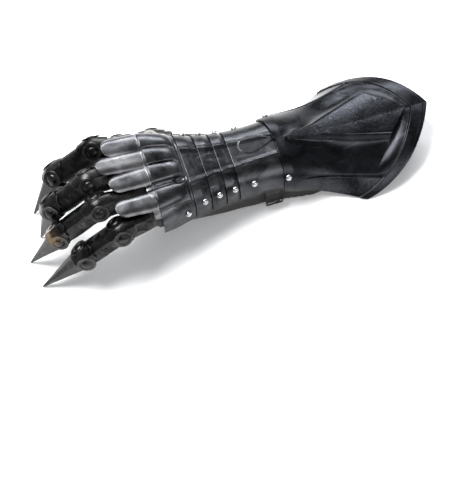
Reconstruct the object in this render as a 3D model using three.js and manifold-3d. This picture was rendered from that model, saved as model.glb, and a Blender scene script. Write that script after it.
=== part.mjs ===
// An armoured gauntlet for a left hand, lying palm down on its claw tips, its wrist strap
// and the two corners of its cuff. Millimetres, +Z up, fingers towards -X, thumb towards +Y.
// The hand is modelled in its own frame, with the wrist joint line at x = 0, and then tilted.
import * as THREE from 'three';
import { mergeVertices } from 'three/addons/utils/BufferGeometryUtils.js';
import Module from 'manifold-3d';

const wasm = await Module();
wasm.setup();

// Driving sizes, in millimetres and degrees
const gap = 0.4;
const plateWall = 1.2;
const layerStep = plateWall + gap;
const leatherWall = 1.4;
const wristHeight = 28;
const handTilt = 6.5;
const cuffTilt = 10.6;
const handLength = 128;
const knuckleHalfWidth = 51;
const knuckleCrown = 38;
const knuckleAxis = 12;
const knuckleLean = 4.5;
const palmDepth = 31;
const bandHalfWidth = 8;
const bandPart = 0.16;
const sideDrop = 8;
const sagRound = 3.4;
const leatherRoom = 0.3;
const fluteHeight = 5;
const fluteLength = 33;
const plateLap = 8;
const strapWidth = 14;
const strapWall = 1.8;
const strapPlace = -9;
const cuffLap = 0;
const cuffWall = 1.3;
const cuffSeat = 12;
const cuffLength = 160;
const cuffHeight = 51.5;
const cuffCorner = { x: 84, y: 68 };
const cuffFlare = 7;
const cuffLean = 70;
const kite = { start: 14, wide: 119, end: 137, halfWidth: 29, rise: 2.2 };
const cuffFluteDepth = 4.5;
const cuffSidePanel = 0.7;
const rivetRadius = 3.3;
const rivetHeight = 2.4;

// Fingers: arched plates over a leather tube, with flat flanks that carry the pivot rivets
const flankAngle = 50;
const tubeRadius = 9.3;
const foldWidth = 2.6;
const foldDepth = 7;
const fingerWall = 1.1;
const plateRound = 12.4;
const plateFlank = 10.8;
const capGap = 0.6;
const capRound = plateRound + capGap + fingerWall;
const capFlank = plateFlank + capGap + fingerWall;
const capBack = 13;
const capFront = 9;
const capPeak = 3.5;
const pivotRadius = 4.6;
const pivotRise = 1.2;
const flushRadius = 3.9;
const flushRise = 0.5;
const tabRadius = 11.5;
const tabHalfWidth = 9.8;
const tabRise = capRound + gap + 0.9 + plateWall;
const clawStart = 3;
const clawTip = 0.9;
const clawWall = 1.3;
const clawSides = 8;
const fingertipReach = 24;

// Sections of the hand. along: share of the hand's length from the joint line towards the
// fingers; width, crown, axis: shares of the knuckle half width, crown and axis height;
// round: exponent of the section; under: share of the palm's depth; bulge: leather standing
// out below the plates, as a share of the knuckle half width.
const handSections = [
  { along: -0.50, width: 0.98, crown: 0.30, axis: -0.75, round: 2.1, under: 0.80, bulge: 0.05 },
  { along: -0.27, width: 0.88, crown: 0.50, axis: -0.45, round: 2.1, under: 0.90, bulge: 0.24 },
  { along: -0.09, width: 0.81, crown: 0.71, axis: -0.18, round: 2.1, under: 1.00, bulge: 0.20 },
  { along: 0.00, width: 0.77, crown: 0.75, axis: 0.00, round: 2.1, under: 1.00, bulge: 0.18 },
  { along: 0.08, width: 0.74, crown: 0.73, axis: 0.00, round: 2.1, under: 1.00, bulge: 0.18 },
  { along: 0.27, width: 0.71, crown: 0.72, axis: 0.00, round: 2.1, under: 1.00, bulge: 0.19 },
  { along: 0.51, width: 0.76, crown: 0.78, axis: 0.17, round: 2.2, under: 0.90, bulge: 0.14 },
  { along: 0.76, width: 0.88, crown: 0.92, axis: 0.50, round: 2.4, under: 0.58, bulge: 0.03 },
  { along: 1.00, width: 1.00, crown: 1.00, axis: 1.00, round: 2.6, under: -0.05, bulge: -0.06 },
  { along: 1.08, width: 1.00, crown: 0.98, axis: 1.30, round: 2.6, under: -0.30, bulge: -0.10 },
];

// Digits in the hand frame. along and across: where the first joint lies, as shares of the
// hand's length and the knuckle half width; yaw, pitch and roll: how the first
// segment points; bend: the angle at the last joint.
const digits = [
  { name: 'index', along: 0.984, across: 0.706, yaw: 10.7, pitch: 7.4, roll: 12, bend: 23.6,
    segments: [46.4, 50.1, 65.2] },
  { name: 'middle', along: 1.010, across: 0.25, yaw: -1.1, pitch: 4, roll: 0.5, bend: 32,
    segments: [56.5, 48, 60] },
  { name: 'ring', along: 1.010, across: -0.22, yaw: -7.4, pitch: 6.5, roll: -8.7, bend: 13,
    segments: [55.5, 54.5, 63.5] },
  { name: 'little', along: 0.968, across: -0.667, yaw: -12, pitch: -1, roll: -14, bend: 5,
    segments: [47, 47, 67.5] },
  { name: 'thumb', along: 0.547, across: 0.902, yaw: 21, pitch: -6, roll: 40, bend: 12,
    segments: [41, 36, 60] },
];
const fingers = digits.filter((digit) => digit.name !== 'thumb');

// Tabs of the knuckle plate, each over a finger and in line with a flute of the hand's back
const tabs = [
  { name: 'index', along: 1, across: 0.66, yaw: -0.5, pitch: 10, roll: -1, segments: [41.5] },
  { name: 'middle', along: 1, across: 0.28, yaw: 2, pitch: 4.5, roll: 0, segments: [50] },
  { name: 'ring', along: 1, across: -0.07, yaw: -5, pitch: 7.5, roll: 0, segments: [44] },
  { name: 'little', along: 1, across: -0.59, yaw: -2.5, pitch: 8, roll: -1, segments: [45] },
];
const thumbDrop = 13;
const fingerDrop = 1.5;

// Looks
const blackSteel = { color: 0x1d1f23, roughness: 0.34, metalness: 0.9 };
const brightSteel = { color: 0xc9cbcd, roughness: 0.25, metalness: 1 };
const blackLeather = { color: 0x0c0c0d, roughness: 0.7, metalness: 0 };

const rad = THREE.MathUtils.degToRad;
const clamp = THREE.MathUtils.clamp;
const smooth = (t) => THREE.MathUtils.smoothstep(t, 0, 1);
const mix = (a, b, t) => a + (b - a) * t;
const steps = (from, to, count) => Array.from({ length: count + 1 }, (_, i) => mix(from, to, i / count));

// Meshes from grids of points
function orient(geometry) {
  const p = geometry.getAttribute('position');
  const index = geometry.getIndex().array;
  const [a, b, c] = [new THREE.Vector3(), new THREE.Vector3(), new THREE.Vector3()];
  let volume = 0;
  for (let i = 0; i < index.length; i += 3) {
    a.fromBufferAttribute(p, index[i]);
    b.fromBufferAttribute(p, index[i + 1]);
    c.fromBufferAttribute(p, index[i + 2]);
    volume += a.dot(b.cross(c));
  }
  if (volume < 0) geometry.setIndex(Array.from(index).reverse());
  return geometry;
}

function fromPoints(points, faces) {
  const geometry = new THREE.BufferGeometry();
  geometry.setAttribute('position', new THREE.Float32BufferAttribute(points.flatMap((v) => v.toArray()), 3));
  geometry.setIndex(faces.flat());
  return orient(geometry);
}

// A sheet with an outer and an inner face, closed along its four edges
function sheetSolid(outer, inner) {
  const rows = outer.length;
  const columns = outer[0].length;
  const at = (side, i, j) => (side * rows + i) * columns + j;
  const faces = [];
  const quad = (a, b, c, d) => faces.push([a, b, c], [a, c, d]);
  for (let i = 0; i < rows - 1; i++) {
    for (let j = 0; j < columns - 1; j++) {
      quad(at(0, i, j), at(0, i + 1, j), at(0, i + 1, j + 1), at(0, i, j + 1));
      quad(at(1, i, j), at(1, i, j + 1), at(1, i + 1, j + 1), at(1, i + 1, j));
    }
    quad(at(0, i, 0), at(1, i, 0), at(1, i + 1, 0), at(0, i + 1, 0));
    quad(at(0, i, columns - 1), at(0, i + 1, columns - 1), at(1, i + 1, columns - 1), at(1, i, columns - 1));
  }
  for (let j = 0; j < columns - 1; j++) {
    quad(at(0, 0, j), at(0, 0, j + 1), at(1, 0, j + 1), at(1, 0, j));
    quad(at(0, rows - 1, j), at(1, rows - 1, j), at(1, rows - 1, j + 1), at(0, rows - 1, j + 1));
  }
  return fromPoints([...outer.flat(), ...inner.flat()], faces);
}

// A solid through closed rings, with a fan at each end
function ringSolid(rings) {
  const sides = rings[0].length;
  const points = rings.flat();
  const faces = [];
  for (let i = 0; i < rings.length - 1; i++) {
    for (let j = 0; j < sides; j++) {
      const [a, b] = [i * sides + j, i * sides + ((j + 1) % sides)];
      faces.push([a, b, b + sides], [a, b + sides, a + sides]);
    }
  }
  for (const [ring, flip] of [[0, true], [rings.length - 1, false]]) {
    const middle = rings[ring].reduce((sum, v) => sum.add(v), new THREE.Vector3()).divideScalar(sides);
    points.push(middle);
    for (let j = 0; j < sides; j++) {
      const [a, b] = [ring * sides + j, ring * sides + ((j + 1) % sides)];
      faces.push(flip ? [b, a, points.length - 1] : [a, b, points.length - 1]);
    }
  }
  return fromPoints(points, faces);
}

// Boolean joins and cuts
function toSolid(geometry) {
  const bare = geometry.clone();
  bare.deleteAttribute('normal');
  bare.deleteAttribute('uv');
  const merged = mergeVertices(bare, 1e-4);
  return new wasm.Manifold(new wasm.Mesh({
    numProp: 3,
    vertProperties: merged.getAttribute('position').array,
    triVerts: new Uint32Array(merged.getIndex().array),
  }));
}

function toGeometry(solid) {
  const mesh = solid.getMesh();
  const geometry = new THREE.BufferGeometry();
  geometry.setAttribute('position', new THREE.BufferAttribute(mesh.vertProperties, 3));
  geometry.setIndex(new THREE.BufferAttribute(mesh.triVerts, 1));
  return geometry;
}

const join = (first, ...rest) => toGeometry(rest.reduce((sum, g) => sum.add(toSolid(g)), toSolid(first)));

function piece(group, name, geometry, look) {
  const flat = geometry.index ? geometry.toNonIndexed() : geometry;
  flat.deleteAttribute('normal');
  const merged = mergeVertices(flat, 1e-5);
  merged.computeVertexNormals();
  const mesh = new THREE.Mesh(merged, new THREE.MeshStandardMaterial({ ...look, flatShading: true }));
  mesh.name = name;
  group.add(mesh);
  return mesh;
}

// The back of the hand: one smooth form that every hand plate and the glove follow
function handSection(x) {
  const along = -x / handLength;
  let k = handSections.findIndex((row) => row.along > along) - 1;
  if (k < 0) k = along < handSections[0].along ? 0 : handSections.length - 2;
  const [a, b] = [handSections[k], handSections[k + 1]];
  const before = handSections[Math.max(k - 1, 0)];
  const after = handSections[Math.min(k + 2, handSections.length - 1)];
  const t = (along - a.along) / (b.along - a.along);
  const column = (key) => {
    const slopeA = ((b[key] - before[key]) / (b.along - before.along)) * (b.along - a.along);
    const slopeB = ((after[key] - a[key]) / (after.along - a.along)) * (b.along - a.along);
    const [t2, t3] = [t * t, t * t * t];
    return (2 * t3 - 3 * t2 + 1) * a[key] + (t3 - 2 * t2 + t) * slopeA
      + (3 * t2 - 2 * t3) * b[key] + (t3 - t2) * slopeB;
  };
  const axis = column('axis') * knuckleAxis;
  return {
    width: column('width') * knuckleHalfWidth,
    rise: column('crown') * knuckleCrown - axis,
    axis,
    power: 2 / column('round'),
    lean: knuckleLean * clamp(along, 0, 1) ** 2,
    under: column('under') * palmDepth,
    bulge: column('bulge') * knuckleHalfWidth,
  };
}

// side runs from -1 at the near edge to 1 at the far edge; lift is the height off the form
function handPoint(x, side, lift) {
  const s = handSection(x);
  const sign = Math.sign(side) || 1;
  const across = Math.abs(side);
  const turn = clamp((across - bandPart) / (1 - bandPart), 0, 1);
  const angle = rad(90 - turn * (90 + sideDrop));
  const out = Math.cos(angle) ** s.power;
  const up = Math.sign(Math.sin(angle)) * Math.abs(Math.sin(angle)) ** s.power;
  const y = sign * (bandHalfWidth * Math.min(1, across / bandPart) + (s.width + lift - bandHalfWidth) * out);
  return new THREE.Vector3(x, y, s.axis + (s.rise + lift) * up + (s.lean * y) / s.width);
}

// A joggled plate dips under its neighbour at the rear and over the next one at the front
function joggle(x, front, rear) {
  return layerStep * (0.5 - smooth((x - front - plateLap) / (rear - front - 2 * plateLap)));
}

function handPlate(stations, sides, lift) {
  const grid = (sink) => stations
    .map((x) => sides.map((side) => handPoint(x, side, lift(x, side) - sink)));
  return sheetSolid(grid(0), grid(plateWall));
}

// Flutes over the finger bases, round at the wrist end
function fluteLift(x, side) {
  const y = handPoint(x, side, 0).y;
  const fade = clamp((fluteLength - handLength - x) / (0.35 * fluteLength), 0, 1);
  const { width } = handSection(x);
  const half = ((tabs[0].across - tabs[3].across) * width) / 6;
  const height = tabs.map((tab) => {
    const off = Math.abs(y - tab.across * width) / half;
    return off < 1 ? Math.sqrt(1 - off * off) : 0;
  });
  return fluteHeight * Math.max(...height) * Math.sqrt(1 - (1 - fade) ** 2);
}

const evenSides = steps(-1, 1, 14);
const fluteSides = steps(-1, 1, 24);

// Each plate starts under the one behind it; the fronts are shares of the hand's length
const spanned = (share, behind) => ({ front: -share * handLength, rear: behind.front + plateLap + 1 });
const wristPlate = { front: -0.344 * handLength, rear: 0.078 * handLength };
const lameOne = spanned(0.453, wristPlate);
const lameTwo = spanned(0.578, lameOne);
const backPlate = spanned(0.719, lameTwo);
const handBack = spanned(1, backPlate);
const knuckleStrip = { front: -1.055 * handLength, rear: -0.922 * handLength };
const knuckleSides = fluteSides.filter((side) => Math.abs(side) < 0.7);

function joggledPlate(span, rows) {
  return handPlate(steps(span.front, span.rear, rows), evenSides, (x) => joggle(x, span.front, span.rear));
}

function metacarpalLift(x, side) {
  return joggle(x, handBack.front, handBack.rear) + fluteLift(x, side);
}

function metacarpalPlate() {
  const flutes = [0, 0.4, 0.7, 0.88, 1].map((share) => handBack.front + share * fluteLength);
  return handPlate([...flutes, backPlate.front + 1, handBack.rear], fluteSides, metacarpalLift);
}

const cuffLift = layerStep;

// Cuff: a half shell from the wrist to a swept, pointed rim, in the hand frame
function cuffTurned(x, y, z) {
  return new THREE.Vector3(x, y, z).applyAxisAngle(new THREE.Vector3(0, 1, 0), rad(cuffTilt));
}

// The corner height at which the corners touch the ground
function cornerDrop() {
  const whole = rad(cuffTilt + handTilt);
  const wall = cuffWall * Math.cos(rad(cuffLean));
  return (cuffCorner.x * Math.sin(whole) - wristHeight) / Math.cos(whole) + wall;
}

function rimPoint(v) {
  const s = Math.abs(v);
  const x = mix(cuffLength, cuffCorner.x, s ** 1.25);
  const y = Math.sign(v) * cuffCorner.y * Math.sin(rad(90 * s)) ** 0.95;
  const z = mix(cornerDrop(), cuffHeight, Math.cos(rad(90 * s)) ** 1.1);
  return cuffTurned(x, y, z);
}

function cuffPoint(u, v, lift) {
  const seat = handPoint(cuffSeat, v, cuffLift + lift);
  const rim = rimPoint(v);
  const point = seat.clone().lerp(rim, u);
  const outward = new THREE.Vector3(0, Math.sin(rad(cuffLean * v)), Math.cos(rad(cuffLean * v)));
  return point.addScaledVector(outward, lift * u - cuffFlare * Math.sin(Math.PI * u) * (1 - 0.5 * u));
}

// How far a kite-shaped panel reaches across at u, as a share of the half shell
function kiteReach(u) {
  const x = mix(cuffSeat, cuffLength, u);
  const rise = clamp((x - kite.start) / (kite.wide - kite.start), 0, 1);
  const fall = clamp((kite.end - x) / (kite.end - kite.wide), 0, 1);
  const half = kite.halfWidth * Math.min(rise, fall);
  return Math.max((half / mix(knuckleHalfWidth * 0.8, cuffCorner.y, u)) * 0.8, 0.02);
}

// Rows run from the wrist to the rim, with a row at each corner of the kite. Columns 0 to 1
// cross the kite, 1 to 2 the flute beside it, and 2 to 3 the side panel.
const kiteRow = (x) => (x - cuffSeat) / (cuffLength - cuffSeat);
const kiteStep = 0.012;
const cuffRows = [
  ...[0, 0.2, 0.4, 0.6, 0.8, 1].map((share) => mix(kiteRow(kite.start), kiteRow(kite.wide), share)),
  kiteRow(mix(kite.wide, kite.end, 0.5)), kiteRow(kite.end), kiteRow(kite.end) + kiteStep, 0.93, 1];
const cuffColumns = [0, 0.5, 1, 1.001, 1.25, 1.5, 1.75, 2, 2.5, 3];

function cuffRelief(u, column) {
  if (column <= 1) return u > kiteRow(kite.start) && u <= kiteRow(kite.end) ? kite.rise : 0;
  const dip = Math.sin(Math.PI * clamp(column - 1, 0, 1)) ** 2;
  return -cuffFluteDepth * dip * Math.sin(Math.PI * clamp(u * 1.05, 0, 1));
}

function columnSide(column, reach) {
  if (column <= 1) return column * reach;
  if (column <= 2) return mix(reach + 2 * kiteStep, cuffSidePanel, column - 1);
  return mix(cuffSidePanel, 1, column - 2);
}

function bothSides(line) {
  const near = cuffColumns.slice(1).reverse().map((column) => line(column, -1));
  return [...near, ...cuffColumns.map((column) => line(column, 1))];
}

function cuffLine(u, sink) {
  const reach = kiteReach(u);
  return bothSides((column, sign) =>
    cuffPoint(u, sign * columnSide(column, reach), cuffRelief(u, column) - sink));
}

// The cuff's front edge lies over the wrist plate
function wristLapRow(x, sink) {
  const reach = kiteReach(0);
  return bothSides((column, sign) => handPoint(x, sign * columnSide(column, reach), cuffLift - sink));
}

function cuffGrid(sink) {
  const front = [-cuffLap, cuffSeat / 2].map((x) => wristLapRow(x, sink));
  return [...front, ...cuffRows.map((u) => cuffLine(u, sink))];
}

// Leather: a glove with a wide sleeve, flat where it would meet the ground
function liftOffGround(point, height) {
  const [s, c] = [Math.sin(rad(handTilt)), Math.cos(rad(handTilt))];
  const floor = (height - wristHeight + point.x * s) / c;
  if (point.z < floor) point.setZ(floor);
  return point;
}

function gloveInset(x) {
  const strapRoom = (strapWall + gap) * smooth(1.5 - Math.abs(x - strapPlace) / strapWidth);
  return layerStep / 2 + plateWall + gap + leatherRoom + strapRoom;
}

function glovePoint(x, angle, lift) {
  const s = handSection(x);
  const inset = gloveInset(x) - lift;
  const [c, n] = [Math.cos(angle), Math.sin(angle)];
  const power = n >= 0 ? s.power : 2 / sagRound;
  const out = Math.sign(c) * Math.abs(c) ** power;
  const up = Math.abs(n) ** power;
  if (n >= 0) {
    const y = (s.width - inset) * out;
    return new THREE.Vector3(x, y, s.axis + (s.rise - inset) * up + (s.lean * y) / s.width);
  }
  const y = (s.width - inset + (s.bulge + gloveInset(x)) * smooth(-2 * n - 0.6)) * out;
  const z = s.axis - (s.under + s.axis + lift) * up;
  return liftOffGround(new THREE.Vector3(x, y, z), strapWall + gap - lift);
}

const gloveSides = 18;
const gloveStep = 360 / gloveSides;

function gloveRing(x, lift) {
  return Array.from({ length: gloveSides }, (_, i) => glovePoint(x, (2 * Math.PI * i) / gloveSides, lift));
}

const gloveMouth = 0.48 * handLength;
const palmEnd = -handLength - 4;
const strapEdges = [strapPlace + strapWidth / 2 + 2, strapPlace - strapWidth / 2 - 2];
const palmStations = [0.32, 0.52, 0.8].map((share) => -share * handLength);
const sleeveStations = [gloveMouth, 0.28 * handLength, 0.11 * handLength];
const gloveStations = [...sleeveStations, ...strapEdges, ...palmStations, palmEnd];

// A finger hangs under the crest of its flute; the thumb lies beside the palm
function digitHeight(digit) {
  if (digit.name === 'thumb') return -thumbDrop;
  let [low, high] = [-1, 1];
  for (let i = 0; i < 30; i++) {
    const side = (low + high) / 2;
    if (handPoint(-handLength, side, 0).y < digit.across * knuckleHalfWidth) low = side;
    else high = side;
  }
  const top = handPoint(-handLength, low, fluteHeight - layerStep / 2).z - tabRise;
  return fingers.includes(digit) ? top - fingerDrop : top;
}

// Digit frames: x along the segment, y towards the little-finger side, z out of the back
function digitFrame(digit) {
  const [yaw, pitch, roll] = [rad(digit.yaw), rad(digit.pitch), rad(digit.roll)];
  const level = Math.cos(pitch);
  const ahead = new THREE.Vector3(-level * Math.cos(yaw), level * Math.sin(yaw), Math.sin(pitch));
  const flatSide = new THREE.Vector3(-Math.sin(yaw), -Math.cos(yaw), 0);
  const flatUp = new THREE.Vector3().crossVectors(ahead, flatSide);
  const side = flatSide.clone().multiplyScalar(Math.cos(roll)).addScaledVector(flatUp, Math.sin(roll));
  const up = new THREE.Vector3().crossVectors(ahead, side);
  const [x, y] = [-digit.along * handLength, digit.across * knuckleHalfWidth];
  return new THREE.Matrix4().makeBasis(ahead, side, up).setPosition(x, y, digitHeight(digit));
}

const handFrame = new THREE.Matrix4().makeRotationY(rad(handTilt)).setPosition(0, 0, wristHeight);

// Joints of a digit in its own frame, for a given bend at the middle joint
function chain(digit, flex) {
  const [first, second] = digit.segments;
  const turns = [0, rad(flex), rad(flex + digit.bend)];
  const middle = new THREE.Vector2(first, 0);
  const last = new THREE.Vector2(first + second * Math.cos(turns[1]), -second * Math.sin(turns[1]));
  return { turns, places: [new THREE.Vector2(0, 0), middle, last] };
}

// A point at distance x past joint k, turned by an angle, y across and z out of the back
function onChain(links, k, turn, x, y, z) {
  const at = links.places[k];
  const [c, s] = [Math.cos(turn), Math.sin(turn)];
  return new THREE.Vector3(at.x + c * x + s * z, y, at.y - s * x + c * z);
}

function tipHeight(digit, flex) {
  const links = chain(digit, flex);
  const frame = handFrame.clone().multiply(digitFrame(digit));
  const length = digit.segments[2];
  const tip = onChain(links, 2, links.turns[2], length, 0, 0);
  const ring = clawRing(links, length - clawTip, clawTip / plateRound, 0);
  return Math.min(...[tip, ...ring].map((point) => point.applyMatrix4(frame).z));
}

// The middle joint bends until the claw touches the ground
function groundedChain(digit) {
  let [low, high] = [-10, 90];
  for (let i = 0; i < 40; i++) {
    const flex = (low + high) / 2;
    if (tipHeight(digit, flex) > 0) low = flex;
    else high = flex;
  }
  return chain(digit, low);
}

// Section of a finger plate: a rounded back between two flat flanks
function archRadius(angle, round, flank) {
  const off = Math.abs(angle) - rad(flankAngle);
  return Math.abs(angle) > Math.PI / 2 ? round : Math.min(round, flank / Math.cos(off));
}

function archAngles(reach) {
  const half = [21, Math.min(79, 0.93 * reach), reach];
  return [...half.map((degrees) => -degrees).reverse(), 0, ...half];
}

// stations: joint, turn, x, and reach, how far the plate wraps to each side in degrees
function archPlate(links, stations, round, flank) {
  const grid = (sink) => stations.map((s) => archAngles(s.reach).map((degrees) => {
    const angle = rad(degrees);
    const radius = archRadius(angle, round - sink, flank - sink);
    const peak = (s.peak || 0) * Math.max(0, 1 - Math.abs(degrees) / 32);
    return onChain(links, s.joint, s.turn, s.x + peak, radius * Math.sin(angle), radius * Math.cos(angle));
  }));
  return sheetSolid(grid(0), grid(fingerWall));
}

// A round head standing on a flank; side is 1 for the little-finger side
function flankDisc(links, joint, turn, x, side, flank, radius, rise) {
  const sink = 0.7 * fingerWall;
  const disc = new THREE.CylinderGeometry(radius, radius, sink + rise, 8);
  const height = flank + (rise - sink) / 2;
  const normal = rad(flankAngle) * side;
  disc.rotateX(Math.PI / 2 - normal);
  disc.translate(0, height * Math.sin(normal), height * Math.cos(normal));
  disc.rotateY(turn);
  const at = links.places[joint];
  disc.translate(at.x + Math.cos(turn) * x, 0, at.y - Math.sin(turn) * x);
  return disc;
}

// A cap bends round joint k; peaks are the points at its back and front edges
function jointCap(links, k, backPeak, frontPeak) {
  const [from, to] = [links.turns[k - 1], links.turns[k]];
  const stations = [
    { x: -capBack, turn: from, reach: 52, peak: -backPeak },
    { x: 0, turn: from, reach: 86 },
    { x: 0, turn: (from + to) / 2, reach: 88 },
    { x: capFront / 2, turn: to, reach: 82 },
    { x: capFront, turn: to, reach: 62, peak: frontPeak },
  ].map((s) => ({ ...s, joint: k }));
  const discs = [-1, 1].map((side) =>
    flankDisc(links, k, (from + to) / 2, 0, side, capFlank, pivotRadius, pivotRise));
  return join(archPlate(links, stations, capRound, capFlank), ...discs);
}

function midPlate(links, digit) {
  const length = digit.segments[1];
  const stations = [
    { x: 4, reach: 70 },
    { x: 8, reach: 83 },
    { x: length - 9, reach: 83 },
    { x: length - 5, reach: 70 },
  ].map((s) => ({ ...s, joint: 1, turn: links.turns[1] }));
  const heads = [-1, 1].map((side) =>
    flankDisc(links, 1, links.turns[1], length / 2 - 1, side, plateFlank, flushRadius, flushRise));
  return join(archPlate(links, stations, plateRound, plateFlank), ...heads);
}

// The waist between two side lobes gives the first plate its curved lower edge
function basePlate(links, digit) {
  const length = digit.segments[0];
  const start = digit.name === 'thumb' ? 0.5 * length : 0.34 * length;
  const stations = [
    { x: start, reach: 62 },
    { x: start + 5, reach: 84 },
    { x: (start + length) / 2, reach: 60 },
    { x: length - 4, reach: 80 },
  ].map((s) => ({ ...s, joint: 0, turn: 0 }));
  const heads = [-1, 1].map((side) =>
    flankDisc(links, 0, 0, start + 5, side, plateFlank, flushRadius, flushRise));
  return join(archPlate(links, stations, plateRound, plateFlank), ...heads);
}

function clawRing(links, x, shrink, sink) {
  return Array.from({ length: clawSides }, (_, i) => {
    const angle = (2 * Math.PI * i) / clawSides;
    const around = angle > Math.PI ? angle - 2 * Math.PI : angle;
    const radius = Math.max(archRadius(around, plateRound, plateFlank) * shrink - sink, 0.3);
    return onChain(links, 2, links.turns[2], x, radius * Math.sin(angle), radius * Math.cos(angle));
  });
}

function claw(links, digit) {
  const length = digit.segments[2];
  const taper = (x) => mix(1, clawTip / plateRound, (x - clawStart) / (length - clawTip - clawStart));
  const outer = [clawStart, length - clawTip].map((x) => clawRing(links, x, taper(x), 0));
  const tip = onChain(links, 2, links.turns[2], length, 0, 0);
  outer.push(outer[1].map((point) => tip.clone().lerp(point, 0.08)));
  const hollowEnd = 0.62 * length;
  const inner = [clawStart - 1, clawStart, hollowEnd].map((x) => clawRing(links, x, taper(x), clawWall));
  return toGeometry(toSolid(ringSolid(outer)).subtract(toSolid(ringSolid(inner))));
}

// Leather round one digit, from inside the palm to the fingertip, deeper below the plates
function tubeSolid(links, digit, lift) {
  const [first] = digit.segments;
  const stops = [
    { joint: 0, turn: 0, x: digit.name === 'thumb' ? -14 : -6, radius: tubeRadius, fold: 0 },
    { joint: 0, turn: 0, x: 0.35 * first, radius: tubeRadius, fold: 1 },
    { joint: 0, turn: 0, x: first - 10, radius: tubeRadius, fold: 1 },
    { joint: 1, turn: links.turns[1] / 2, x: 0, radius: tubeRadius, fold: 0.5 },
    { joint: 2, turn: (links.turns[1] + links.turns[2]) / 2, x: -1, radius: tubeRadius, fold: 0.5 },
    { joint: 2, turn: links.turns[2], x: 3, radius: tubeRadius - 0.8, fold: 0 },
    { joint: 2, turn: links.turns[2], x: fingertipReach + lift, radius: tubeRadius - 6.5, fold: 0 },
  ];
  const sides = 8;
  return ringSolid(stops.map((s) => Array.from({ length: sides }, (_, i) => {
    const angle = (2 * Math.PI * (i + 0.5)) / sides;
    const radius = s.radius + lift;
    const fold = Math.cos(angle) < 0 && digit.name !== 'thumb' ? s.fold : 0;
    const y = (radius + fold * foldWidth) * Math.sin(angle);
    const z = (radius + fold * foldDepth) * Math.cos(angle);
    return onChain(links, s.joint, s.turn, s.x, y, z);
  })));
}

const chains = new Map(digits.map((digit) => [digit.name, groundedChain(digit)]));

// The palm with its sleeve, and the five fingers sewn to it, are pieces of leather of their own
function palmSolid(lift) {
  const mouth = lift < 0 ? gloveMouth + 5 : gloveMouth;
  const stations = gloveStations.with(0, mouth).with(-1, palmEnd - lift);
  return toSolid(ringSolid(stations.map((x) => gloveRing(x, lift))));
}

function fingerSolid(digit, lift) {
  return toSolid(tubeSolid(chains.get(digit.name), digit, lift).applyMatrix4(digitFrame(digit)));
}

function glove() {
  const skin = palmSolid(0).subtract(palmSolid(-leatherWall));
  return toGeometry(digits.reduce((sum, digit) => sum.subtract(fingerSolid(digit, -leatherWall)), skin));
}

function gloveFinger(digit) {
  const skin = fingerSolid(digit, 0).subtract(fingerSolid(digit, -leatherWall));
  return toGeometry(skin.subtract(palmSolid(gap)));
}

// Knuckle plate: a strip under the knuckle ridge and a round-ended fluted tab along each finger
function knuckleTab(tab) {
  const [length] = tab.segments;
  const start = gap + plateWall + tabHalfWidth * Math.tan(rad(Math.abs(tab.yaw)))
    + tabRise * Math.tan(rad(tab.pitch));
  const grid = (sink) => [start / length, 0.6, 0.85, 0.95, 1].map((share) => {
    const x = share * length;
    const ends = clamp((x - 0.8 * length) / (0.2 * length), 0, 1);
    const half = Math.max(tabHalfWidth * Math.sqrt(1 - ends * ends), 2.4);
    return steps(-1, 1, 4).map((t) => {
      const y = t * half;
      const radius = tabRadius - sink;
      return new THREE.Vector3(x, (y * radius) / tabRadius, tabRise - tabRadius
        + Math.sqrt(radius * radius - ((y * radius) / tabRadius) ** 2));
    });
  });
  return sheetSolid(grid(0), grid(plateWall)).applyMatrix4(digitFrame(tab));
}

function knucklePlate() {
  const strip = handPlate([knuckleStrip.front, knuckleStrip.rear], knuckleSides,
    (x, side) => fluteLift(x, side) - layerStep / 2);
  return join(strip, ...tabs.map(knuckleTab));
}

// Strap: leather round the underside of the wrist, its ends under the wrist plate
function strapPoint(x, angle, lift) {
  const outward = new THREE.Vector3(0, Math.cos(angle), Math.sin(angle));
  const point = glovePoint(x, angle, 0).addScaledVector(outward, gap + lift);
  return liftOffGround(point, strapWall - lift);
}

function wristStrap() {
  const places = [strapPlace - strapWidth / 2, strapPlace + strapWidth / 2];
  const angles = steps(rad(gloveStep), rad(-180 - gloveStep), 2 + gloveSides / 2);
  const grid = (lift) => places.map((x) => angles.map((angle) => strapPoint(x, angle, lift)));
  return sheetSolid(grid(strapWall), grid(0));
}

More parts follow.
